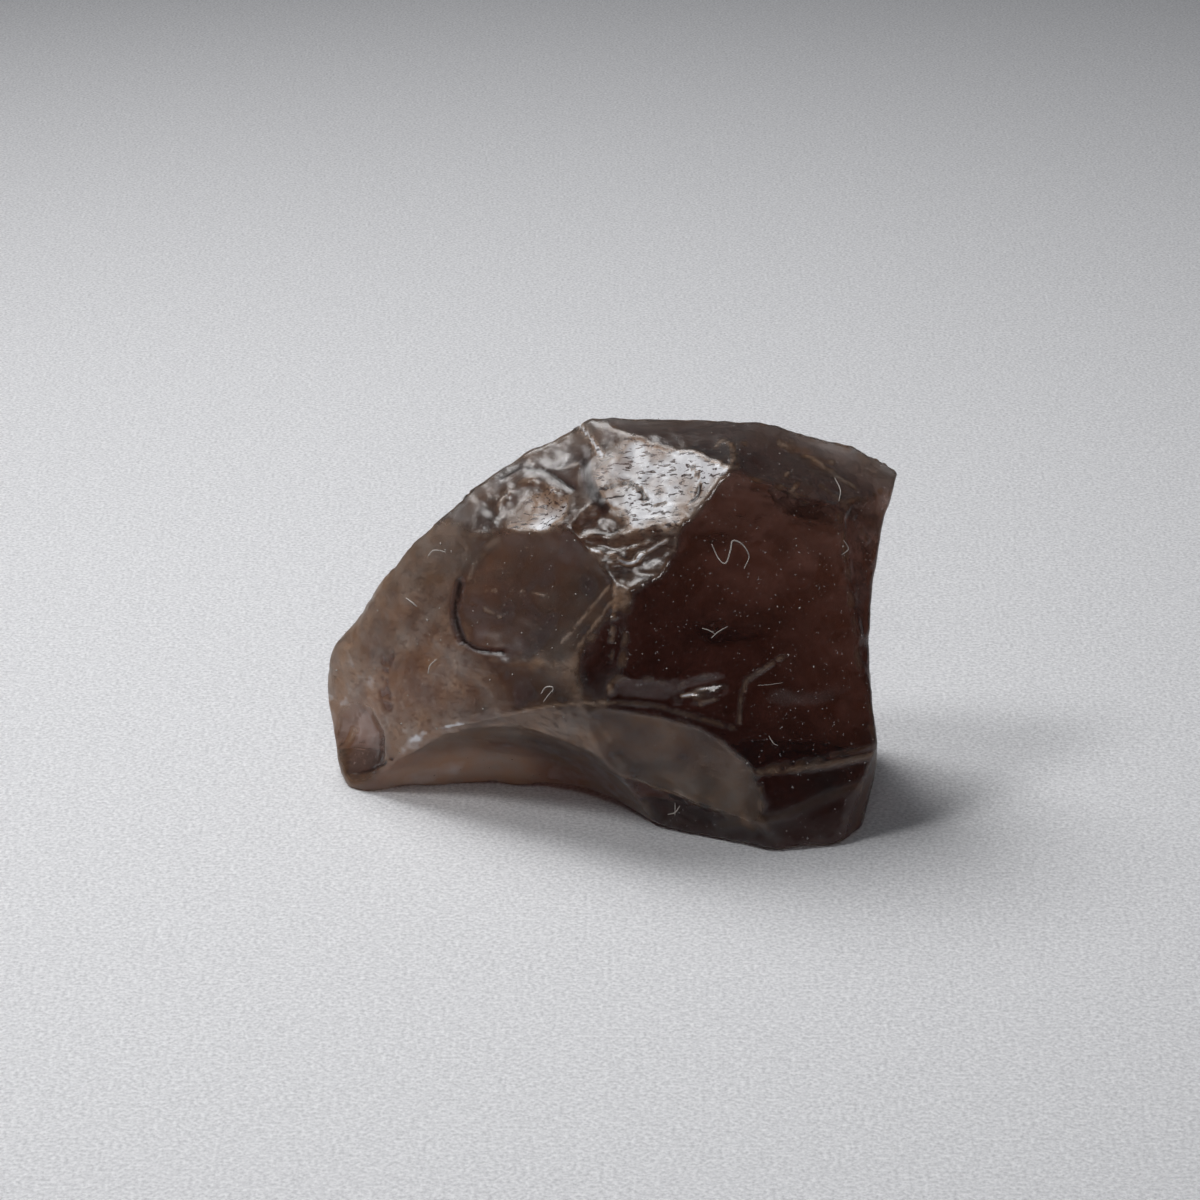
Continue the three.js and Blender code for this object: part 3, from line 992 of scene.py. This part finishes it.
@dataclass(frozen=True)
class StudioCard:
    """The pale card that the stone stands on: matt, with a fine even tooth.

    Attributes:
        low: the colour between the bumps of the tooth.
        high: the colour on them.
        tooth_mm: width of a bump.
        tooth_height_mm: height of a bump.
        toothed: the values of the tooth's noise between which the colour turns from low to high.
    """

    low: str = "#cbcbce"
    high: str = "#fafafc"
    tooth_mm: float = 0.17
    tooth_height_mm: float = 0.05
    toothed: Pair = (0.3, 0.7)

    def make(self) -> bpy.types.Material:
        """Builds the material.

        Returns:
            The material.
        """
        material, tree = empty_material("studio_card")
        place = add_node(tree, "ShaderNodeTexCoord").outputs["Object"]
        tooth = add_node(tree, "ShaderNodeTexNoise", {
            "Vector": place, "Scale": scale_for(self.tooth_mm), "Detail": 3.0, "Roughness": 0.6})
        low, high = self.toothed
        spread = add_node(tree, "ShaderNodeMapRange", {
            "Value": tooth.outputs["Fac"], "From Min": low, "From Max": high}, clamp=True)
        colour = add_node(tree, "ShaderNodeMix", {
            "Factor": spread.outputs[0], 6: linear(self.low), 7: linear(self.high)}, data_type="RGBA")
        bump = add_node(tree, "ShaderNodeBump", {
            "Strength": 0.5, "Distance": self.tooth_height_mm * MM, "Height": tooth.outputs["Fac"]})
        card = add_node(tree, "ShaderNodeBsdfPrincipled", {
            "Base Color": colour.outputs[2], "Roughness": 0.55, "Normal": bump.outputs[0]})
        add_node(tree, "ShaderNodeOutputMaterial", {"Surface": card.outputs[0]})
        return material


@dataclass(frozen=True)
class LooseFibre:
    """Cotton and dust: pale and dull with a soft sheen, so that it shows as fine light specks.

    Attributes:
        colour: where it is clean.
        shade: where it is soiled.
        patch_mm: width of the soiled patches.
    """

    colour: str = "#d8d3cc"
    shade: str = "#9a9188"
    patch_mm: float = 0.3

    def make(self) -> bpy.types.Material:
        """Builds the material.

        Returns:
            The material.
        """
        material, tree = empty_material("cotton_dust")
        place = add_node(tree, "ShaderNodeTexCoord").outputs["Object"]
        patches = add_node(tree, "ShaderNodeTexNoise", {
            "Vector": place, "Scale": scale_for(self.patch_mm), "Detail": 1.0})
        colour = add_node(tree, "ShaderNodeMix", {
            "Factor": patches.outputs["Fac"], 6: linear(self.colour), 7: linear(self.shade)},
            data_type="RGBA")
        cotton = add_node(tree, "ShaderNodeBsdfPrincipled", {
            "Base Color": colour.outputs[2], "Roughness": 0.8, "Sheen Weight": 0.3})
        add_node(tree, "ShaderNodeOutputMaterial", {"Surface": cotton.outputs[0]})
        return material


# ---------------------------------------------------------------------------------------------------------
# The stone


@dataclass
class GlassStone:
    """The lump of glass.

    Attributes:
        shape: the field that it fills.
        spine: two places inside it; every vertex lies on a line that leaves the line between them squarely.
        reach: the corners of the box that those lines run to, in mm.
        cells: how many cells the box is cut into along X, Y and Z.
        past_box: how far a line is followed, where the box is 1.
        halvings: how many times the way out is halved.
        margin: how far below the skin a face may lie and still be marked, in mm.
        chipping: how far small chips along a ridge shift it, in mm.
        chipping_reach: how far below the higher face of a ridge its lower face may lie there, in mm.
        chipping_size: width of a chip, in mm.
        chipping_bend: the bends of the skin between which the chips come in.
        trace_steps: how many places are worked out on each stretch of a trace.
        settlings: how many times the skin is moved to where its marks put it.
        crushing: how pale a ridge is where it is crushed.
        crushing_bend: the bends of the skin between which the crushing comes in.
        crushing_above: the heights between which it comes in, in mm.
        crushing_size: width of a crushed place, in mm.
        crushed: the values of that noise between which a place is crushed.
        blotch: how much paler or clearer a blotch of a thin veil is, where the veil is 1.
        blotch_size: width of a blotch, in mm.
        finish: the glass.
    """

    shape: StoneShape = field(default_factory=StoneShape)
    spine: tuple[Triple, Triple] = ((-9.0, 2.0, 1.8), (5.0, 0.5, 9.0))
    reach: tuple[Triple, Triple] = ((-13.5, -6.8, -0.8), (13.5, 7.2, 17.5))
    cells: tuple[int, int, int] = (190, 62, 144)
    past_box: float = 1.2
    halvings: int = 20
    margin: float = 0.5
    chipping: float = 0.05
    chipping_reach: float = 0.08
    chipping_size: float = 0.9
    chipping_bend: Pair = (0.003, 0.03)
    trace_steps: int = 10
    settlings: int = 4
    crushing: float = 0.16
    crushing_bend: Pair = (0.004, 0.03)
    crushing_above: Pair = (0.2, 1.0)
    crushing_size: float = 0.35
    crushed: Pair = (-0.3, 0.7)
    blotch: float = 0.8
    blotch_size: float = 1.0
    finish: SmokyObsidian = SmokyObsidian()

    def surface(self) -> tuple[np.ndarray, np.ndarray]:
        """The stone's skin: for each place on the box, where the line to it from the spine leaves the glass.

        The line starts at the nearest place on the spine. The way out is found by halving.

        Returns:
            The vertices in mm, and the four vertices of each face.
        """
        box, faces = box_shell(self.cells)
        low, high = np.array(self.reach)
        target = low + (box + 1.0) / 2.0 * (high - low)
        first, last = np.array(self.spine)
        run = last - first
        share = np.clip((target - first) @ run / (run @ run), 0.0, 1.0)
        start = first + share[:, None] * run
        heading = target - start
        length = np.linalg.norm(heading, axis=1)
        heading /= length[:, None]
        near, far = np.zeros(len(length)), length * self.past_box
        for _ in range(self.halvings):
            middle = (near + far) / 2.0
            inside = self.shape.height(start + heading * middle[:, None]) < 0.0
            near, far = np.where(inside, middle, near), np.where(inside, far, middle)
        return start + heading * near[:, None], faces

    def rises(self, points: np.ndarray) -> tuple[np.ndarray, np.ndarray, np.ndarray]:
        """How far each face rises by its own marks, and what the traces add to the skin.

        Args:
            points: places on the plain skin, in mm.

        Returns:
            Heights in mm, a column for a face, and how pale the traces make each place, partly as painted
            light, and how dark, partly as painted shade.
        """
        heights = self.shape.heights(points)
        wide = self.shape.shares(points, softness=self.chipping_reach)
        at_ridge = eased(self.shape.bend(points, wide), *self.chipping_bend)
        rises = np.zeros(heights.shape)
        for number, face in enumerate(self.shape.faces):
            own = heights[:, number] > -self.margin
            if own.any():
                chips = noise(points[own], self.chipping_size, Seed.CHIPS + number, octaves=3)
                chips *= self.chipping * at_ridge[own]
                rises[own, number] = self.rise_on(face, points[own], number) + chips
        pale_lines_and_painted_light, dark_lines_and_painted_shade = np.zeros(len(points)), np.zeros(len(points))
        for number, trace in enumerate(TRACES):
            curve = self.shape.lay(trace.through, self.trace_steps)
            closeness = trace.closeness(points, curve, Seed.TRACE_GAPS + number)
            rises += (trace.rise * closeness)[:, None]
            # Pale traces add pale lines and painted highlights and glows; dark traces add dark lines and
            # painted shade.
            pale_lines_and_painted_light += trace.veil * closeness
            dark_lines_and_painted_shade += max(-trace.veil, 0.0) * closeness
        return rises, pale_lines_and_painted_light, np.clip(dark_lines_and_painted_shade, 0.0, 1.0)

    def marked(self, points: np.ndarray) -> tuple[np.ndarray, dict[str, np.ndarray]]:
        """Settles the skin on the marked faces, so that their marks also shift the ridges between them.

        Args:
            points: places on the plain skin, in mm.

        Returns:
            The places on the marked skin, and the attributes that the material reads.
        """
        rises, pale_lines_and_painted_light, dark_lines_and_painted_shade = self.rises(points)
        for _ in range(self.settlings):
            shares = self.shape.shares(points, rises)
            slope = self.shape.slope(points, shares)
            points = points - slope * self.shape.height(points, rises)[:, None]
        shares = self.shape.shares(points, rises)
        values = {name: shares @ np.array([getattr(face.wear.value, name) for face in self.shape.faces])
                  for name in ("roughness", "grain", "grit", "veil")}
        values["veil"] = self.veil(points, values["veil"], self.shape.bend(points, shares), pale_lines_and_painted_light)
        values["dark_lines_and_painted_shade"] = dark_lines_and_painted_shade
        return points, values

    def veil(self, points: np.ndarray, plain: np.ndarray, bend: np.ndarray,
             pale_lines_and_painted_light: np.ndarray) -> np.ndarray:
        """How veiled the marked skin is: in blotches on the faces, more on crushed ridges, and more by the
        traces, whose pale lines are partly painted light.

        Args:
            points: places on the marked skin, in mm.
            plain: the faces' own veil.
            bend: 0 on a face, more on a ridge.
            pale_lines_and_painted_light: what the traces add, pale lines and painted highlights and glows.

        Returns:
            A number from 0 to 1 for each place.
        """
        ridge = eased(bend, *self.crushing_bend) * eased(points[:, 2], *self.crushing_above)
        crushed = eased(noise(points, self.crushing_size, Seed.CRUSHING, octaves=2), *self.crushed)
        blotches = noise(points, self.blotch_size, Seed.BLOTCHES, octaves=4)
        blotched = plain * (1.0 + self.blotch * (1.0 - plain) * blotches)
        return np.clip(blotched + self.crushing * ridge * crushed + pale_lines_and_painted_light, 0.0, 1.0)

    @staticmethod
    def rise_on(face: Face, points: np.ndarray, number: int) -> np.ndarray:
        """How far one face's marks rise at places on it.

        Ripples are waves of the distance from where the crack began; hackle is noise of the direction from
        there, drawn out along it; swellings are noise; pits are where another noise is high.

        Args:
            face: the face.
            points: places on it, in mm.
            number: gives each face marks of its own.

        Returns:
            A height in mm for each place.
        """
        marks = face.wear.value
        along, up = face.axes()
        away = points - np.array(face.at)
        x, y = away @ along - face.start[0], away @ up - face.start[1]
        distance, turn = np.hypot(x, y), np.arctan2(y, x)
        wander = marks.wander * noise(points, marks.wander_size, Seed.WANDER + number)
        fade = eased(noise(points, marks.fade_size, Seed.FADE + number), *marks.faded)
        wave = np.sin(2.0 * math.pi * (distance / marks.ripple_gap + wander))
        overtone = marks.overtone * np.sin(2.0 * np.arccos(np.clip(wave, -1.0, 1.0)))
        rise = marks.ripple * fade * (wave + overtone)
        if marks.hackle:
            polar = np.stack([distance, turn * distance.mean(), np.full_like(turn, number)], axis=1)
            streak = (marks.hackle_length * marks.hackle_width, marks.hackle_width, 1.0)
            rise += marks.hackle * noise(polar, streak, Seed.HACKLE + number)
        if marks.lump:
            rise += marks.lump * noise(points, marks.lump_size, Seed.LUMPS + number, octaves=3)
        if marks.pit:
            rise -= marks.pit * eased(noise(points, marks.pit_size, Seed.PITS + number), *marks.pitted)
        return rise

    def build(self) -> bpy.types.Object:
        """Makes the stone, dresses it and puts it on the frame.

        Returns:
            The piece.
        """
        points, faces = self.surface()
        points, values = self.marked(points)
        points[:, 2] = np.maximum(points[:, 2], 0.0)
        piece = make_mesh("glass_stone_surface", points, faces)
        for name, value in values.items():
            set_attribute(piece, name, value)
        piece.data.materials.append(self.finish.make())
        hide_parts("glass_stone")
        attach(piece, "root")
        LOG.info("stone: %d vertices, %d faces", len(points), len(faces))
        return piece


# ---------------------------------------------------------------------------------------------------------
# Lint and dust


@dataclass(frozen=True)
class Fibre:
    """One fibre of lint: a smooth curve through a few places near the skin, where it comes to lie.

    Attributes:
        name: what the fibre looks like.
        through: places near it, in mm.
        thickness: in mm.
        hump: how far its middle stands off the glass, in mm.
    """

    name: str
    through: tuple[Triple, ...]
    thickness: float = 0.05
    hump: float = 0.15


@dataclass
class Lint:
    """The fibres that lie on the front of the stone, joined in one mesh.

    Attributes:
        fibres: all fibres.
        steps: how many places are worked out on each stretch of a fibre.
        sides: of a fibre's section.
        gap: between a fibre's ends and the plain skin, in mm, which leaves room for the marks.
        bluntness: how far into the wave of its thickness a fibre begins and ends, in radians.
        finish: the cotton.
    """

    fibres: tuple[Fibre, ...] = (
        Fibre("curl", ((4.1, -3.3, 13.0), (4.4, -3.5, 12.4), (4.7, -3.5, 12.2), (4.9, -3.3, 12.7),
                       (5.0, -3.2, 13.1), (5.4, -3.1, 12.9), (5.7, -3.2, 12.4), (5.5, -3.4, 11.9)),
              thickness=0.06, hump=0.3),
        Fibre("hook", ((-8.2, -1.2, 6.0), (-8.1, -1.2, 6.4), (-7.8, -1.2, 6.7))),
        Fibre("crook", ((-3.2, -4.2, 6.4), (-3.0, -4.2, 6.7), (-2.7, -4.4, 6.8), (-2.7, -4.5, 6.6))),
        Fibre("tail", ((-3.1, -4.4, 6.1), (-2.9, -4.4, 6.4), (-2.7, -4.5, 6.7)), thickness=0.035),
        Fibre("cross", ((3.7, -4.5, 9.6), (4.0, -4.5, 9.5), (4.3, -4.5, 9.3)), thickness=0.04),
        Fibre("cross bar", ((4.1, -4.6, 9.2), (4.4, -4.4, 9.4), (4.8, -4.3, 9.6)), thickness=0.045),
        Fibre("twig", ((2.3, -4.8, 0.9), (2.6, -5.0, 1.1), (2.8, -5.2, 1.5))),
        Fibre("twig, branch", ((2.6, -5.1, 1.6), (2.6, -5.0, 1.1), (2.6, -4.9, 0.9)), thickness=0.04),
        Fibre("arc", ((-8.2, 0.9, 10.7), (-8.0, 0.8, 11.0), (-7.7, 0.6, 11.1), (-7.4, 0.4, 11.1))),
        Fibre("crumb", ((-9.2, 0.7, 8.8), (-8.9, 0.4, 8.7), (-8.7, 0.2, 8.6)), thickness=0.06),
        Fibre("thread", ((6.1, -4.9, 7.1), (6.6, -4.8, 7.1), (7.2, -4.6, 7.1)), thickness=0.025),
        Fibre("flick", ((6.6, -5.3, 4.9), (6.8, -5.4, 4.6), (7.0, -5.4, 4.5)), thickness=0.04),
        Fibre("bend", ((9.8, -2.4, 12.8), (10.0, -2.4, 12.4), (9.7, -2.6, 12.2)), thickness=0.035),
        Fibre("high", ((9.5, 0.1, 14.7), (9.7, -0.6, 14.4), (9.6, -1.4, 14.2)), thickness=0.035),
    )
    steps: int = 8
    sides: int = 6
    gap: float = 0.06
    bluntness: float = 0.2
    finish: LooseFibre = LooseFibre()

    def tube(self, fibre: Fibre, shape: StoneShape) -> tuple[np.ndarray, np.ndarray]:
        """A thin tube along the fibre's curve, laid on the skin and lifted by half a wave of its length.

        Args:
            fibre: the fibre.
            shape: the stone that it lies on.

        Returns:
            The vertices in mm, and the three vertices of each face.
        """
        view = toward(*shape.seen_from)
        spine = shape.lay(fibre.through, self.steps)
        count = len(spine)
        lift = self.gap + fibre.hump * np.sin(np.linspace(0.0, math.pi, count))
        spine = spine + view * lift[:, None]
        ahead = np.gradient(spine, axis=0)
        side = np.cross(ahead, view)
        side /= np.linalg.norm(side, axis=1)[:, None]
        up = np.cross(side, ahead)
        up /= np.linalg.norm(up, axis=1)[:, None]
        turn = np.linspace(0.0, 2.0 * math.pi, self.sides, endpoint=False)
        ring = np.cos(turn)[:, None] * side[:, None, :] + np.sin(turn)[:, None] * up[:, None, :]
        wave = np.sin(np.linspace(self.bluntness, math.pi - self.bluntness, count))
        taper = fibre.thickness / 2.0 * (0.5 + 0.5 * wave)
        body = (spine[:, None, :] + ring * taper[:, None, None]).reshape(-1, 3)
        vertices = np.concatenate([body, spine[:1], spine[-1:]])
        here = np.arange(self.sides)
        after = (here + 1) % self.sides
        rows = np.arange(count - 1)[:, None] * self.sides
        a, b, c, d = rows + here, rows + after, rows + self.sides + after, rows + self.sides + here
        walls = np.stack([np.stack([a, b, c], axis=2), np.stack([a, c, d], axis=2)]).reshape(-1, 3)
        last = (count - 1) * self.sides
        start = np.stack([np.full(self.sides, count * self.sides), after, here], axis=1)
        end = np.stack([np.full(self.sides, count * self.sides + 1), last + here, last + after], axis=1)
        return vertices, np.concatenate([walls, start, end])

    def build(self, shape: StoneShape) -> bpy.types.Object:
        """Makes the lint and puts it on the frame.

        Args:
            shape: the stone that it lies on.

        Returns:
            The piece.
        """
        vertices, faces, count = [], [], 0
        for fibre in self.fibres:
            points, triangles = self.tube(fibre, shape)
            vertices.append(points)
            faces.append(triangles + count)
            count += len(points)
        piece = make_mesh("lint_on_glass", np.concatenate(vertices), np.concatenate(faces))
        piece.data.materials.append(self.finish.make())
        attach(piece, "root")
        LOG.info("lint: %d fibres", len(self.fibres))
        return piece


@dataclass
class Dust:
    """Specks of dust all over the stone, each a small flattened lump of eight faces, joined in one mesh.

    Attributes:
        count: how many lines a speck is sent along. Those that miss the stone, or meet it low, leave none.
        seed: of the random numbers.
        lowest: the sine of the lowest elevation that a line comes from.
        aimed_at: the corners of the box that holds what the lines aim at, in mm.
        distance: from there to where a line starts, in mm.
        closeness: how near the skin a line has to end to have met the stone, in mm.
        above: the least height of a speck over the ground, in mm.
        lift: how far the middle of a speck is outside the plain skin, in mm.
        sizes: the smallest and the largest, in mm.
        rarity: the power of a random number that makes large specks rare.
        flatness: height of a speck, where its width is 1.
        stretch: the least and the greatest stretch of a speck along each of its axes.
        finish: the dust.
    """

    count: int = 420
    seed: int = 7
    lowest: float = -0.1
    aimed_at: tuple[Triple, Triple] = ((-11.0, -3.0, 1.0), (11.0, 3.0, 13.0))
    distance: float = 25.0
    closeness: float = 0.01
    above: float = 0.3
    lift: float = 0.03
    sizes: Pair = (0.04, 0.12)
    rarity: int = 3
    flatness: float = 0.7
    stretch: Pair = (0.5, 1.4)
    finish: LooseFibre = LooseFibre()

    def places(self, shape: StoneShape, random: np.random.Generator) -> np.ndarray:
        """Lands specks on the skin along random lines from all sides above it.

        Args:
            shape: the stone.
            random: where the random numbers come from.

        Returns:
            The middle of each speck, in mm.
        """
        angle = random.uniform(0.0, 2.0 * math.pi, self.count)
        rise = np.arcsin(random.uniform(self.lowest, 1.0, self.count))
        out = np.stack([np.sin(angle) * np.cos(rise), -np.cos(angle) * np.cos(rise), np.sin(rise)], axis=1)
        target = np.stack([random.uniform(low, high, self.count) for low, high in zip(*self.aimed_at)],
                          axis=1)
        landed = shape.land(target + self.distance * out, -out)
        kept = (landed[:, 2] > self.above) & (np.abs(shape.height(landed)) < self.closeness)
        return landed[kept] + self.lift * out[kept]

    def lumps(self, count: int, random: np.random.Generator) -> tuple[np.ndarray, np.ndarray]:
        """Eight-faced lumps, each a pyramid on either side of a square, stretched and turned at random.

        Args:
            count: how many.
            random: where the random numbers come from.

        Returns:
            The six corners of each lump round its middle, in mm, and the three corners of each of its faces.
        """
        top = self.flatness
        corners = np.array([[1, 0, 0], [0, 1, 0], [-1, 0, 0], [0, -1, 0], [0, 0, top], [0, 0, -top]], float)
        low, high = self.sizes
        size = low + (high - low) * random.uniform(0.0, 1.0, count) ** self.rarity
        stretch = random.uniform(*self.stretch, (count, 1, 3))
        turned = np.linalg.qr(random.normal(size=(count, 3, 3)))[0]
        turned *= np.sign(np.linalg.det(turned))[:, None, None]
        here = np.arange(4)
        after = (here + 1) % 4
        upper = np.stack([here, after, np.full(4, 4)], axis=1)
        lower = np.stack([after, here, np.full(4, 5)], axis=1)
        return (corners * stretch * size[:, None, None] / 2.0) @ turned, np.concatenate([upper, lower])

    def build(self, shape: StoneShape) -> bpy.types.Object:
        """Makes the dust and puts it on the frame.

        Args:
            shape: the stone that it lies on.

        Returns:
            The piece.
        """
        random = np.random.default_rng(self.seed)
        places = self.places(shape, random)
        lumps, faces = self.lumps(len(places), random)
        vertices = places[:, None, :] + lumps
        rows = faces + lumps.shape[1] * np.arange(len(places))[:, None, None]
        piece = make_mesh("dust_on_glass", vertices.reshape(-1, 3), rows.reshape(-1, 3))
        piece.data.materials.append(self.finish.make())
        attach(piece, "root")
        LOG.info("dust: %d specks", len(places))
        return piece


# ---------------------------------------------------------------------------------------------------------
# The studio


@dataclass(frozen=True)
class Lamp:
    """A square softbox that faces the stone.

    Attributes:
        name: of the lamp.
        at: the middle of its front, in mm.
        size: the length of its side, in mm.
        radiance: how bright its front looks, where a sheet of white paper in full light is about 1.
        spread: how wide its light fans out, in degrees. A grid on the front makes this less than 180.
    """

    name: str
    at: Triple
    size: float
    radiance: float
    spread: float = 180.0

    def build(self, target: Triple) -> None:
        """Makes the lamp.

        Its power is pi times its radiance times the area of its front, times what its grid lets through:
        1 - h / tan(h), where h is half of the spread.

        Args:
            target: what the lamp faces, in mm.
        """
        half = math.radians(self.spread) / 2.0
        light = bpy.data.lights.new(self.name, "AREA")
        light.shape = "SQUARE"
        light.size = self.size * MM
        light.spread = 2.0 * half
        light.energy = math.pi * self.radiance * (self.size * MM) ** 2 * (1.0 - half / math.tan(half))
        lamp = bpy.data.objects.new(self.name, light)
        lamp.location = Vector(self.at) * MM
        lamp.rotation_mode = "QUATERNION"
        lamp.rotation_quaternion = (Vector(target) - Vector(self.at)).to_track_quat("-Z", "Y")
        lamp.visible_camera = False
        bpy.context.scene.collection.objects.link(lamp)


@dataclass
class Studio:
    """A pale card, three soft lamps, a dim room and a camera.

    Attributes:
        target: what the lamps and the camera face, in mm.
        camera_elevation: how far above the level the camera is, in degrees.
        camera_distance: from the target, in mm.
        view_width: how much the frame takes in at the target, in mm.
        sensor: width of the camera's sensor, in mm.
        clip: the nearest and the farthest that the camera sees, in mm.
        card_size: length of the card's side, in mm.
        card_gap: between the stone and the card, in mm.
        room: the colour of the room's light.
        room_strength: how strong that light is.
        bounces: how often light may bounce or cross a surface.
        glossy_bounces: how often it may be mirrored.
        lamps: all lamps.
    """

    target: Triple = (-0.66, 0.0, 9.0)
    camera_elevation: float = 23.0
    camera_distance: float = 170.0
    view_width: float = 52.63
    sensor: float = 36.0
    clip: Pair = (1.0, 10000.0)
    card_size: float = 2400.0
    card_gap: float = 0.02
    room: str = "#6b6f75"
    room_strength: float = 0.35
    bounces: int = 16
    glossy_bounces: int = 8
    lamps: tuple[Lamp, ...] = (
        Lamp("softbox_large", at=(-72.0, 92.0, 190.0), size=125.0, radiance=8.2, spread=110.0),
        Lamp("softbox_left", at=(-118.0, -50.0, 188.0), size=52.0, radiance=17.0, spread=110.0),
        Lamp("softbox_front", at=(5.0, -135.0, 112.0), size=30.0, radiance=9.0, spread=60.0),
    )

    def build(self) -> None:
        """Makes the card, the lamps, the room and the camera."""
        self.add_card()
        for lamp in self.lamps:
            lamp.build(self.target)
        self.add_room()
        self.add_camera()
        self.set_light_paths()
        LOG.info("studio: %d lamps", len(self.lamps))

    def add_card(self) -> None:
        """The card lies a hair below the stone, so that the two surfaces don't share a plane."""
        half = self.card_size / 2.0
        corners = np.array([[-half, -half, 0], [half, -half, 0], [half, half, 0], [-half, half, 0]], float)
        corners[:, 2] = -self.card_gap
        card = make_mesh("studio_card", corners, np.array([[0, 1, 2, 3]]))
        card.data.materials.append(StudioCard().make())

    def add_room(self) -> None:
        """An even, dim light from all round."""
        world = bpy.data.worlds.new("room")
        world.use_nodes = True
        world.node_tree.nodes.clear()
        light = add_node(world.node_tree, "ShaderNodeBackground", {
            "Color": linear(self.room), "Strength": self.room_strength})
        add_node(world.node_tree, "ShaderNodeOutputWorld", {"Surface": light.outputs[0]})
        bpy.context.scene.world = world

    def add_camera(self) -> None:
        """A long lens, so that the frame is as wide at the stone as `view_width`."""
        lens = bpy.data.cameras.new("camera")
        lens.sensor_width = self.sensor
        lens.lens = self.sensor * self.camera_distance / self.view_width
        lens.clip_start, lens.clip_end = (distance * MM for distance in self.clip)
        back = Vector(toward(0.0, self.camera_elevation))
        camera = bpy.data.objects.new("camera", lens)
        camera.location = Vector(self.target) * MM + back * self.camera_distance * MM
        camera.rotation_mode = "QUATERNION"
        camera.rotation_quaternion = (-back).to_track_quat("-Z", "Y")
        bpy.context.scene.collection.objects.link(camera)
        bpy.context.scene.camera = camera

    def set_light_paths(self) -> None:
        """Lets light cross the stone often enough, and shows colours as they are."""
        scene = bpy.context.scene
        scene.cycles.max_bounces = self.bounces
        scene.cycles.transmission_bounces = self.bounces
        scene.cycles.glossy_bounces = self.glossy_bounces
        scene.view_settings.view_transform = "Standard"


def main() -> None:
    """Builds the stone and the studio."""
    logging.basicConfig(level=logging.INFO, format="%(name)s: %(message)s")
    Studio().build()
    stone = GlassStone()
    stone.build()
    Lint().build(stone.shape)
    Dust().build(stone.shape)


if __name__ == "__main__":
    main()
